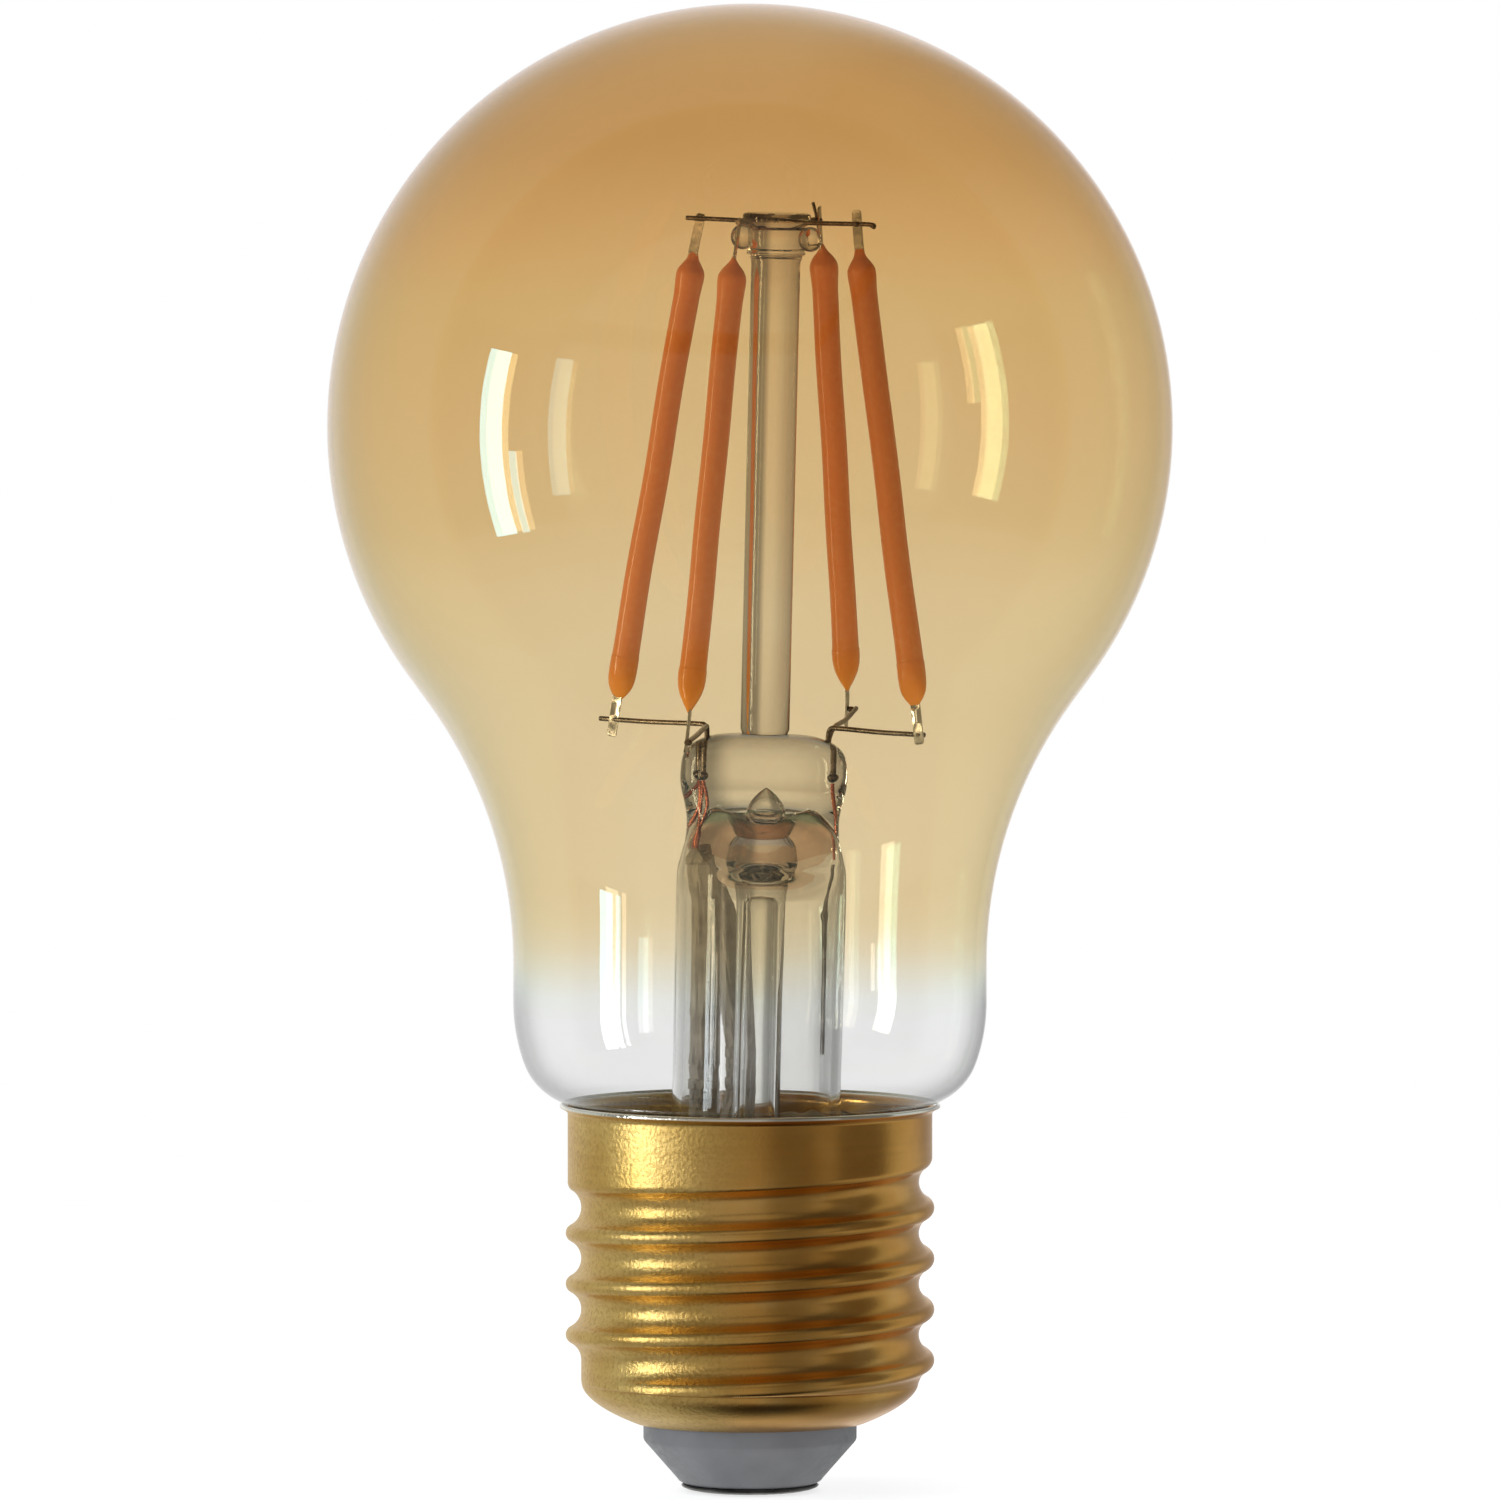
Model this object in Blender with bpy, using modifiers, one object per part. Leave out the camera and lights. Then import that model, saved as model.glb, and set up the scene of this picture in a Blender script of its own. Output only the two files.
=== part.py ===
"""A smart filament light bulb: a pear-shaped glass bulb on an E27 screw cap, as separate pieces.

The origin is the centre of the contact face under the cap, +Z runs up to the dome,
-Y is the front and +X the right-hand side. Lengths are in metres.
The glass stem and all that it carries lean a little to the right, so they hang on one
tilted empty, and each filament hangs on an empty of its own at the filament's lower end.
"""

from math import atan2, cos, floor, pi, radians, sin, sqrt, tau

import bmesh
import bpy
from mathutils import Vector

MM = 0.001
GAP = 0.3 * MM  # clearance between pieces that touch or are sealed together

# The glass bulb, as an outline from the crown down to the open neck end
TOTAL_HEIGHT = 105.8 * MM
BULB_RADIUS = 30.0 * MM
GLASS_WALL = 0.75 * MM
DOME_END = radians(126)  # polar angle where the sphere runs out into the cone
CONE_LENGTH = 2.4 * MM
WAIST_RADIUS = 31.6 * MM  # of the hollow curve between cone and neck
NECK_LENGTH = 2.8 * MM
SHOULDER = ((12.9 * MM, radians(19.5)), (4.6 * MM, radians(50)))  # radius and turn of its two arcs
TAIL_RADIUS = 11.2 * MM  # the neck end inside the cap
TAIL_END_Z = 21.3 * MM

# The screw cap, size E27
PITCH = 3.629 * MM
CREST_RADIUS = 13.13 * MM
ROOT_RADIUS = 12.03 * MM
CREST_ARC = 0.65 * MM
FIRST_CREST_Z = 9.3 * MM  # height of the lowest crest at +X
CRESTS = 4
SHEET = 0.25 * MM
SKIRT_RADIUS = 12.975 * MM
LIP_RADIUS = 13.55 * MM
LIP_Z = 27.5 * MM
LIP_HEIGHT = 0.7 * MM
SHELL_BOTTOM_Z = 4.9 * MM
SHELL_MOUTH_RADIUS = 8.0 * MM
BOWL_TOP_Z = 7.9 * MM  # where the thread ends in the rounded bottom
INSULATOR_RADIUS = 7.65 * MM
PLATE_RADIUS = 4.9 * MM
CONTACT_RADIUS = 4.0 * MM
CONTACT_TOP_Z = 0.45 * MM
PIN_RADIUS = 1.0 * MM
PIN_TOP_Z = 6.6 * MM

# The stem: flare, tube and pressed top
STEM_LEAN = radians(1.33)
STEM_OFFSET_X = -0.2 * MM
STEM_RADIUS = 6.05 * MM
STEM_WALL = 0.75 * MM
FLARE_RADIUS = 10.9 * MM
FLARE_BOTTOM_Z = 20.0 * MM
FLARE_TOP_Z = 27.0 * MM
BORE_TOP_Z = 45.6 * MM
PRESS_HALF_WIDTH = 5.95 * MM
PRESS_HALF_THICKNESS = 2.75 * MM
PRESS_TOP_Z = 54.0 * MM
EXHAUST_RADIUS = 1.7 * MM
EXHAUST_BORE = 0.9 * MM
EXHAUST_TIP_Z = 15.0 * MM
EXHAUST_HOLE_Z = 48.8 * MM

# The glass post with its button
POST_RADIUS = 1.75 * MM
BUTTON_RADIUS = 2.43 * MM
BUTTON_BOTTOM_Z = 88.2 * MM
BUTTON_TOP_Z = 91.05 * MM

# Wires
LEAD_RADIUS = 0.2 * MM
BRIDGE_RADIUS = 0.16 * MM
SEAL_RADIUS = 0.17 * MM
TAIL_WIRE_RADIUS = 0.25 * MM
KNOT_Z = 50.7 * MM  # weld between arm and seal, inside the press
SEAL_END_Z = 45.0 * MM
ARM_Z = 54.3 * MM
BRIDGE_UPPER_Z = 90.3 * MM
BRIDGE_LOWER_Z = 89.3 * MM
LEFT_LEAD = Vector((-4.1, 0.8, 0.0)) * MM  # the back one; the front one mirrors it in y
RIGHT_LEAD = Vector((4.5, 0.0, 0.0)) * MM
SLEEVE_RADIUS = 1.1 * MM
SLEEVE_WALL = 0.4 * MM

# Filaments: four on a turned square, closer together at the top
FILAMENT_FOOT_RADIUS = 12.1 * MM
FILAMENT_HEAD_RADIUS = 6.7 * MM
FILAMENT_FOOT_Z = 56.2 * MM
FILAMENT_HEAD_Z = 88.3 * MM
FILAMENT_ANGLES = {
    "front_right": radians(-29.3),
    "back_right": radians(60.7),
    "back_left": radians(150.7),
    "front_left": radians(243.5),
}
FILAMENT_RISES = {  # sealed in by hand, so not quite level with each other
    "front_right": 0.35 * MM,
    "back_right": 0.35 * MM,
    "back_left": -0.3 * MM,
    "front_left": -0.3 * MM,
}
PHOSPHOR_RADIUS = 0.95 * MM
PHOSPHOR_BORE = 0.6 * MM
STRIP_WIDTH = 0.6 * MM
STRIP_THICKNESS = 0.3 * MM
TAB_WIDTH = 0.62 * MM
TAB_THICKNESS = 0.2 * MM
TAB_OUTSIDE = 2.75 * MM  # length that stands out of the phosphor
TAB_INSIDE = 2.4 * MM
CHIPS = 16

# The driver in the cap
BOARD_RADIUS = 9.8 * MM
BOARD_THICKNESS = 1.0 * MM
BOARD_Z = 9.2 * MM
LINER_RADIUS = 11.3 * MM
LINER_WALL = 0.4 * MM

BOARD_TOP_Z = BOARD_Z + BOARD_THICKNESS
ON_BOARD_Z = BOARD_TOP_Z + GAP


# Scene, materials and placing


def clear_scene():
    for item in list(bpy.data.objects):
        bpy.data.objects.remove(item, do_unlink=True)


def new_collection(name, hidden=False):
    collection = bpy.data.collections.new(name)
    collection.hide_render = hidden
    bpy.context.scene.collection.children.link(collection)
    return collection


def new_material(name, colour, roughness, metallic=0.0, transmission=0.0):
    material = bpy.data.materials.new(name)
    material.use_nodes = True
    shader = material.node_tree.nodes["Principled BSDF"]
    shader.inputs["Base Color"].default_value = (*colour, 1.0)
    shader.inputs["Roughness"].default_value = roughness
    shader.inputs["Metallic"].default_value = metallic
    shader.inputs["Transmission Weight"].default_value = transmission
    return material


def new_empty(name, location, rotation, parent=None):
    empty = bpy.data.objects.new(name, None)
    empty.location = location
    empty.rotation_euler = rotation
    empty.parent = parent
    bulb.objects.link(empty)
    return empty


def add_object(name, data, material=None, parent=None):
    """A piece of the bulb if it has a material, and a cutter if it hasn't."""
    item = bpy.data.objects.new(name, data)
    item.parent = parent
    if material:
        data.materials.append(material)
        bulb.objects.link(item)
    else:
        item.hide_render = True
        item.display_type = "WIRE"
        cutters.objects.link(item)
    return item


def smooth(mesh):
    mesh.shade_smooth()
    mesh.set_sharp_from_angle(angle=radians(35))


def mesh_from(bm, name):
    mesh = bpy.data.meshes.new(name)
    bm.to_mesh(mesh)
    bm.free()
    smooth(mesh)
    return mesh


# Shapes


class Outline:
    """Radius and height along a turned outline, drawn forwards with straights and bends.

    The heading is the angle outwards from straight down, so 90 degrees runs outwards.
    """

    def __init__(self, radius, z, heading):
        self.points = [(radius, z)]
        self.heading = heading

    def move(self, distance):
        radius, z = self.points[-1]
        self.points.append((radius + distance * sin(self.heading), z - distance * cos(self.heading)))

    def bend(self, radius, turn, steps):
        """An arc that turns the heading outwards by turn, or inwards if it is negative."""
        chord = 2 * radius * sin(abs(turn) / steps / 2)
        for _ in range(steps):
            self.heading += turn / steps / 2
            self.move(chord)
            self.heading += turn / steps / 2


def turned(name, points, steps, material=None, parent=None, closed=True):
    """A turned solid. Its outline runs down the outer side, then back up the inner side."""
    mesh = bpy.data.meshes.new(name)
    vertices = [(radius, 0.0, z) for radius, z in points]
    edges = [(i, i + 1) for i in range(len(points) - 1)]
    if closed:
        edges.append((len(points) - 1, 0))
    mesh.from_pydata(vertices, edges, [])
    item = add_object(name, mesh, material, parent)
    screw = item.modifiers.new("Turn", "SCREW")
    screw.steps = steps
    screw.render_steps = steps
    screw.use_merge_vertices = True
    screw.merge_threshold = 1e-6
    screw.use_smooth_shade = True
    return item


def thicken(item, wall):
    """Gives an open surface its wall, inwards from the outer face."""
    solidify = item.modifiers.new("Wall", "SOLIDIFY")
    solidify.thickness = wall
    solidify.offset = -1
    solidify.use_even_offset = True


def wire(name, points, radius, material, parent=None, capped=True):
    curve = bpy.data.curves.new(name, "CURVE")
    curve.dimensions = "3D"
    curve.bevel_depth = radius
    curve.bevel_resolution = 2
    curve.use_fill_caps = capped
    spline = curve.splines.new("POLY")
    spline.points.add(len(points) - 1)
    for control, point in zip(spline.points, points):
        control.co = (*point, 1.0)
    return add_object(name, curve, material, parent)


def rounded(corners, radius, steps=3):
    """The route through the corners, with each inner corner cut by a curve."""
    corners = [Vector(corner) for corner in corners]
    route = [corners[0]]
    for before, corner, after in zip(corners, corners[1:], corners[2:]):
        reach = min(radius, (before - corner).length * 0.45, (after - corner).length * 0.45)
        start = corner + (before - corner).normalized() * reach
        end = corner + (after - corner).normalized() * reach
        for step in range(steps + 1):
            share = step / steps
            route.append(start.lerp(corner, share).lerp(corner.lerp(end, share), share))
    route.append(corners[-1])
    return route


def flat_outline(name, outlines, thickness, material, parent=None):
    """A flat piece in the X-Y plane of its object: the first outline less the holes after it."""
    curve = bpy.data.curves.new(name, "CURVE")
    curve.dimensions = "2D"
    curve.fill_mode = "BOTH"
    curve.extrude = thickness / 2
    for points in outlines:
        spline = curve.splines.new("POLY")
        spline.points.add(len(points) - 1)
        spline.use_cyclic_u = True
        for control, (x, y) in zip(spline.points, points):
            control.co = (x, y, 0.0, 1.0)
    return add_object(name, curve, material, parent)


def slot_outline(width, bottom, top, steps=4):
    """A slot with round ends, about the Y axis."""
    radius = width / 2
    points = []
    for end, centre, first in ((1, top - radius, 0.0), (-1, bottom + radius, pi)):
        for step in range(steps + 1):
            angle = first + pi * step / steps
            points.append((radius * cos(angle), centre + radius * sin(angle)))
    return points


def box(name, size, centre, material, bevel=0.0, parent=None):
    bm = bmesh.new()
    bmesh.ops.create_cube(bm, size=1.0)
    bmesh.ops.scale(bm, vec=size, verts=bm.verts)
    item = add_object(name, mesh_from(bm, name), material, parent)
    item.location = centre
    if bevel:
        edge = item.modifiers.new("Edges", "BEVEL")
        edge.width = bevel
        edge.segments = 2
    return item


def rod_cutter(name, start, end, radius, parent=None):
    """A straight round cutter between two points."""
    start, end = Vector(start), Vector(end)
    bm = bmesh.new()
    bmesh.ops.create_cone(
        bm, cap_ends=True, segments=12, radius1=radius, radius2=radius, depth=(end - start).length
    )
    item = add_object(name, mesh_from(bm, name), parent=parent)
    item.location = (start + end) / 2
    item.rotation_euler = (end - start).to_track_quat("Z", "Y").to_euler()
    return item


def cut(item, cutter):
    boolean = item.modifiers.new("Cut " + cutter.name, "BOOLEAN")
    boolean.operation = "DIFFERENCE"
    boolean.solver = "EXACT"
    boolean.object = cutter


def loft(bm, rings, capped):
    """Skins the rings, each a list of as many points, and closes the two ends if capped."""
    rows = [[bm.verts.new(point) for point in ring] for ring in rings]
    count = len(rings[0])
    for lower, upper in zip(rows, rows[1:]):
        for i in range(count):
            j = (i + 1) % count
            bm.faces.new((lower[i], lower[j], upper[j], upper[i]))
    if capped:
        bm.faces.new(list(reversed(rows[0])))
        bm.faces.new(rows[-1])


# Glass bulb


def bulb_outline():
    outline = Outline(0.0, TOTAL_HEIGHT, radians(90))
    outline.bend(BULB_RADIUS, -DOME_END, 9)
    outline.move(CONE_LENGTH)
    outline.bend(WAIST_RADIUS, -outline.heading, 4)
    outline.move(NECK_LENGTH)
    for radius, turn in SHOULDER:
        outline.bend(radius, -turn, 2)
    # The last arc ends straight down, on the tail's radius.
    inset = outline.points[-1][0] - TAIL_RADIUS
    outline.bend(inset / (1 - cos(outline.heading)), -outline.heading, 3)
    outline.points.append((TAIL_RADIUS, TAIL_END_Z))
    return outline.points


def make_glass_envelope():
    envelope = turned("glass_envelope", bulb_outline(), 36, amber_glass, closed=False)
    thicken(envelope, GLASS_WALL)


# Screw cap


def arc_drop(distance):
    """How far the thread's surface lies inside its crest, at this distance from the crest.

    The profile is a small arc over the crest and a larger one in the groove, which meet smoothly.
    """
    run = PITCH / 2
    rise = CREST_RADIUS - ROOT_RADIUS
    both_radii = (run**2 + rise**2) / (2 * rise)
    groove = both_radii - CREST_ARC
    if distance <= run * CREST_ARC / both_radii:
        return CREST_ARC - sqrt(CREST_ARC**2 - distance**2)
    return rise - groove + sqrt(groove**2 - (run - distance) ** 2)


def shell_radius(angle, z):
    """The shell's outer radius: a right-hand thread that runs out below the plain skirt."""
    turns = angle / tau
    last_crest = FIRST_CREST_Z + PITCH * (CRESTS - 1 + turns)
    skirt_start = FIRST_CREST_Z + PITCH * max(CRESTS - turns, CRESTS - 1 + turns)
    if z >= skirt_start:
        return SKIRT_RADIUS
    if z > last_crest:
        # The last groove narrows and fades out round the back.
        share = (skirt_start - last_crest) / PITCH
        from_crest = (z - last_crest) / share
        radius = CREST_RADIUS - share * arc_drop(min(from_crest, PITCH - from_crest))
    else:
        from_crest = (last_crest - z) % PITCH
        radius = CREST_RADIUS - arc_drop(min(from_crest, PITCH - from_crest))
    if z > skirt_start - PITCH / 2:
        depth = (CREST_RADIUS - radius) / (CREST_RADIUS - ROOT_RADIUS)
        radius = SKIRT_RADIUS - (SKIRT_RADIUS - ROOT_RADIUS) * depth
    if z < FIRST_CREST_Z + PITCH * (turns - 0.5):
        # The first ridge rises out of the groove in a quarter of a turn, on the way to the front.
        rise = min(1.0, max(0.0, (turns - 0.5) * 4))
        radius = ROOT_RADIUS + (radius - ROOT_RADIUS) * rise**2 * (3 - 2 * rise)
    if z < BOWL_TOP_Z:
        # The rounded bottom is a quarter of an ellipse from the groove's radius to the mouth's hem.
        depth = (BOWL_TOP_Z - z) / (BOWL_TOP_Z - SHELL_BOTTOM_Z)
        hem = SHELL_MOUTH_RADIUS + SHEET * 4
        radius = min(radius, hem + (ROOT_RADIUS - hem) * sqrt(max(0.0, 1 - depth**2)))
    return radius


def make_screw_shell():
    columns = 30
    rows_per_pitch = 6
    skirt_foot = FIRST_CREST_Z + PITCH * CRESTS
    thread_rows = floor((skirt_foot - SHELL_BOTTOM_Z) / PITCH * rows_per_pitch)
    levels = [skirt_foot - PITCH * row / rows_per_pitch for row in range(thread_rows)]
    levels += [SHELL_BOTTOM_Z + 0.3 * MM, SHELL_BOTTOM_Z]
    angles = [tau * column / columns for column in range(columns)]

    def ring(radius, z):
        return [(radius * cos(angle), radius * sin(angle), z) for angle in angles]

    rings = [ring(SHELL_MOUTH_RADIUS, SHELL_BOTTOM_Z)]
    for z in reversed(levels):
        rings.append([(shell_radius(a, z) * cos(a), shell_radius(a, z) * sin(a), z) for a in angles])
    rings.append(ring(SKIRT_RADIUS, LIP_Z - LIP_HEIGHT))
    rings.append(ring(LIP_RADIUS, LIP_Z))
    bm = bmesh.new()
    loft(bm, rings, capped=False)
    shell = add_object("screw_shell", mesh_from(bm, "screw_shell"), brass)
    thicken(shell, SHEET)


def make_base_insulator():
    rim_z = 3.65 * MM
    foot_z = CONTACT_TOP_Z + GAP
    flange_z = SHELL_BOTTOM_Z + SHEET + GAP
    flange_radius = INSULATOR_RADIUS + 1.55 * MM
    hole_radius = PIN_RADIUS + GAP
    outline = [
        (flange_radius, flange_z + 0.8 * MM),
        (flange_radius, flange_z),
        (INSULATOR_RADIUS, flange_z),
        (INSULATOR_RADIUS, rim_z),
        (PLATE_RADIUS + 0.3 * MM, foot_z),
        (hole_radius, foot_z),
        (hole_radius, flange_z + 0.8 * MM),
    ]
    turned("base_insulator", outline, 36, vitrite)


def make_centre_contact():
    outline = [
        (0.0, PIN_TOP_Z),
        (PIN_RADIUS, PIN_TOP_Z),
        (PIN_RADIUS, CONTACT_TOP_Z),
        (PLATE_RADIUS, CONTACT_TOP_Z),
        (PLATE_RADIUS - 0.1 * MM, 0.25 * MM),
        (CONTACT_RADIUS, 0.0),
        (0.0, 0.0),
    ]
    turned("centre_contact", outline, 36, nickel, closed=False)


def make_base_cement():
    """Fills the gap between the bulb's tail and the skirt of the shell."""
    inner = TAIL_RADIUS + 2 * GAP
    outer = SKIRT_RADIUS - SHEET - GAP
    turned("base_cement", ring_outline(outer, inner, 24.0 * MM, 25.9 * MM), 36, cement)


def make_insulating_liner():
    outline = ring_outline(LINER_RADIUS, LINER_RADIUS - LINER_WALL, 8.0 * MM, 19.3 * MM)
    turned("insulating_liner", outline, 32, clear_plastic)


def ring_outline(outer, inner, bottom, top):
    return [(outer, top), (outer, bottom), (inner, bottom), (inner, top)]


# Glass stem


def slab_ring(half_width, half_thickness, z, power, count=28):
    """A ring that goes from an ellipse at power 2 to a rounded oblong at higher powers."""
    ring = []
    for i in range(count):
        angle = tau * i / count
        across, along = cos(angle), sin(angle)
        x = half_width * abs(across) ** (2 / power) * (1 if across > 0 else -1)
        y = half_thickness * abs(along) ** (2 / power) * (1 if along > 0 else -1)
        ring.append((x, y, z))
    return ring


def flare_radius(share):
    """The trumpet's outer radius, from the rim at 0 to the tube at 1."""
    return STEM_RADIUS + (FLARE_RADIUS - STEM_RADIUS) * (1 - sqrt(1 - (1 - share) ** 2)) ** 0.8


def make_stem():
    rim_height = 0.7 * MM
    rings = [slab_ring(FLARE_RADIUS, FLARE_RADIUS, FLARE_BOTTOM_Z, 2)]
    for share in (0.0, 0.1, 0.25, 0.5, 1.0):
        z = FLARE_BOTTOM_Z + rim_height + (FLARE_TOP_Z - FLARE_BOTTOM_Z - rim_height) * share
        rings.append(slab_ring(flare_radius(share), flare_radius(share), z, 2))
    tube = (
        (STEM_RADIUS, STEM_RADIUS, BORE_TOP_Z - 2.0 * MM, 2),
        (PRESS_HALF_WIDTH - 0.3 * MM, 4.9 * MM, BORE_TOP_Z - 0.2 * MM, 2),
        (PRESS_HALF_WIDTH - 0.45 * MM, 3.2 * MM, BORE_TOP_Z + 1.2 * MM, 2.3),
        (PRESS_HALF_WIDTH, PRESS_HALF_THICKNESS, BORE_TOP_Z + 4.4 * MM, 3),
        (PRESS_HALF_WIDTH - 0.05 * MM, PRESS_HALF_THICKNESS, PRESS_TOP_Z - 2.3 * MM, 3),
        (PRESS_HALF_WIDTH - 0.9 * MM, PRESS_HALF_THICKNESS - 0.4 * MM, PRESS_TOP_Z - 0.9 * MM, 2.6),
        (PRESS_HALF_WIDTH / 2, PRESS_HALF_THICKNESS / 2, PRESS_TOP_Z, 2),
    )
    rings += [slab_ring(*section) for section in tube]
    bm = bmesh.new()
    loft(bm, rings, capped=True)
    stem = add_object("glass_stem", mesh_from(bm, "glass_stem"), clear_glass, stem_axis)

    bore_radius = STEM_RADIUS - STEM_WALL
    bore = [(0.0, BORE_TOP_Z), (EXHAUST_RADIUS + GAP, BORE_TOP_Z)]
    bore += [(bore_radius - 1.2 * MM, BORE_TOP_Z - 0.5 * MM)]
    bore += [(bore_radius, BORE_TOP_Z - 2.0 * MM), (bore_radius, FLARE_TOP_Z)]
    for share in (0.5, 0.25, 0.1, 0.0):
        z = FLARE_BOTTOM_Z + (FLARE_TOP_Z - FLARE_BOTTOM_Z) * share
        bore.append((flare_radius(share) - STEM_WALL, z))
    bore += [(FLARE_RADIUS - STEM_WALL, FLARE_BOTTOM_Z - 1 * MM), (0.0, FLARE_BOTTOM_Z - 1 * MM)]
    cut(stem, turned("stem_bore", bore, 28, parent=stem_axis, closed=False))

    through = (BORE_TOP_Z - 1 * MM, PRESS_TOP_Z + 1 * MM)
    for name, place in lead_places().items():
        ends = [(place.x, place.y, z) for z in through]
        cut(stem, rod_cutter(name + "_channel", *ends, LEAD_RADIUS + GAP, stem_axis))
    exhaust_top = (0, 0, EXHAUST_HOLE_Z)
    cut(stem, rod_cutter("exhaust_rise", (0, 0, BORE_TOP_Z - 1 * MM), exhaust_top, EXHAUST_BORE, stem_axis))
    outlet = (0, -PRESS_HALF_THICKNESS - 1 * MM, EXHAUST_HOLE_Z - 0.5 * MM)
    inlet = (0, 0.4 * MM, EXHAUST_HOLE_Z - 0.5 * MM)
    cut(stem, rod_cutter("exhaust_outlet", inlet, outlet, EXHAUST_BORE * 0.9, stem_axis))


def make_exhaust_tube():
    """A tube sealed at its lower tip. Its outline goes up the bore and down the outside."""
    top = BORE_TOP_Z - GAP
    outline = [
        (0.0, EXHAUST_TIP_Z + 1.4 * MM),
        (EXHAUST_BORE, EXHAUST_TIP_Z + 2.8 * MM),
        (EXHAUST_BORE, top),
        (EXHAUST_RADIUS, top),
        (EXHAUST_RADIUS, EXHAUST_TIP_Z + 2.0 * MM),
        (EXHAUST_RADIUS * 0.7, EXHAUST_TIP_Z + 0.6 * MM),
        (0.0, EXHAUST_TIP_Z),
    ]
    turned("exhaust_tube", outline, 16, clear_glass, stem_axis, closed=False)


def make_glass_post():
    foot = PRESS_TOP_Z + GAP
    neck = BUTTON_BOTTOM_Z - 1.2 * MM
    edge = 0.35 * MM
    outline = [
        (0.0, BUTTON_TOP_Z),
        (BUTTON_RADIUS - edge, BUTTON_TOP_Z),
        (BUTTON_RADIUS, BUTTON_TOP_Z - edge),
        (BUTTON_RADIUS, BUTTON_BOTTOM_Z + edge),
        (BUTTON_RADIUS - edge, BUTTON_BOTTOM_Z),
        (POST_RADIUS, neck),
        (POST_RADIUS, foot),
        (0.0, foot),
    ]
    post = turned("glass_post", outline, 24, clear_glass, stem_axis, closed=False)
    clearance = 0.25 * MM  # less than elsewhere, so that the two channels stay apart
    for name, angle, z in bridge_lines():
        reach = Vector((cos(angle), sin(angle), 0.0)) * BUTTON_RADIUS * 1.5
        middle = Vector((0.0, 0.0, z))
        cutter = rod_cutter(
            name + "_channel", middle - reach, middle + reach, BRIDGE_RADIUS + clearance, stem_axis
        )
        cut(post, cutter)


# Filaments


def filament_radial(z):
    """Distance of a filament's centre line from the stem's axis at this height."""
    slope = (FILAMENT_HEAD_RADIUS - FILAMENT_FOOT_RADIUS) / (FILAMENT_HEAD_Z - FILAMENT_FOOT_Z)
    return FILAMENT_FOOT_RADIUS + slope * (z - FILAMENT_FOOT_Z)


def beside_tab(place, z, side, beyond, wire_radius):
    """A point next to a filament's tab, with the wire clear of its flat side.

    side is 1 or -1 round the axis, and beyond is how far outside the filament the point is.
    """
    angle = FILAMENT_ANGLES[place]
    outward = Vector((cos(angle), sin(angle), 0.0))
    around = Vector((-sin(angle), cos(angle), 0.0))
    offset = TAB_THICKNESS / 2 + GAP + wire_radius
    return outward * (filament_radial(z) + beyond) + around * side * offset + Vector((0.0, 0.0, z))


def strip_outline(length):
    """The strip seen from the side: a substrate with a row of chips along one face."""
    substrate = STRIP_THICKNESS * 0.55
    chip_pitch = length / CHIPS
    points = [(0.0, length), (-substrate, length), (-substrate, 0.0), (0.0, 0.0)]
    for chip in range(CHIPS):
        start = chip_pitch * (chip + 0.25)
        end = chip_pitch * (chip + 0.75)
        height = STRIP_THICKNESS - substrate
        points += [(0.0, start), (height, start), (height, end), (0.0, end)]
    return points


def make_filament(place):
    angle = FILAMENT_ANGLES[place]
    run = FILAMENT_HEAD_RADIUS - FILAMENT_FOOT_RADIUS
    rise = FILAMENT_HEAD_Z - FILAMENT_FOOT_Z
    length = sqrt(run**2 + rise**2)
    foot_z = FILAMENT_FOOT_Z + FILAMENT_RISES[place]
    foot = (FILAMENT_FOOT_RADIUS * cos(angle), FILAMENT_FOOT_RADIUS * sin(angle), foot_z)
    axis = new_empty(f"filament_{place}_axis", foot, (0.0, atan2(run, rise), angle), stem_axis)

    outline = [
        (PHOSPHOR_BORE + 0.05 * MM, length),
        (PHOSPHOR_RADIUS * 0.9, length - 0.6 * MM),
        (PHOSPHOR_RADIUS, length - 1.8 * MM),
        (PHOSPHOR_RADIUS, 1.2 * MM),
        (PHOSPHOR_BORE + 0.1 * MM, 0.0),
        (PHOSPHOR_BORE, 0.0),
        (PHOSPHOR_BORE, length),
    ]
    turned(f"filament_{place}_phosphor", outline, 14, phosphor, axis)

    # The flat pieces are drawn across X with their length along Y, then stood up along the axis.
    # The strip's broad side faces round the bulb, and so do the tabs'.
    strip_foot = TAB_INSIDE + GAP
    strip_length = length - 2 * strip_foot
    strip = flat_outline(
        f"filament_{place}_strip", [strip_outline(strip_length)], STRIP_WIDTH, ceramic, axis
    )
    strip.rotation_euler = (pi / 2, 0.0, pi / 2)
    strip.location = (0.0, 0.0, strip_foot)
    tab_length = TAB_INSIDE + TAB_OUTSIDE
    slot = slot_outline(TAB_WIDTH * 0.4, 0.5 * MM, 1.5 * MM, steps=3)
    for end, z, tilt in (("bottom", -TAB_OUTSIDE, pi / 2), ("top", length + TAB_OUTSIDE, -pi / 2)):
        outlines = [slot_outline(TAB_WIDTH, 0.0, tab_length), list(reversed(slot))]
        tab = flat_outline(f"filament_{place}_{end}_tab", outlines, TAB_THICKNESS, nickel, axis)
        tab.rotation_euler = (tilt, 0.0, 0.0)
        tab.location = (0.0, 0.0, z)


# Bridge wires over the top and leads under the filaments


def bridge_lines():
    """Name, direction and height in the button of the two wires that cross in it."""
    return (
        ("bridge_wire_upper", FILAMENT_ANGLES["front_right"], BRIDGE_UPPER_Z),
        ("bridge_wire_lower", FILAMENT_ANGLES["back_right"], BRIDGE_LOWER_Z),
    )


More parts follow.
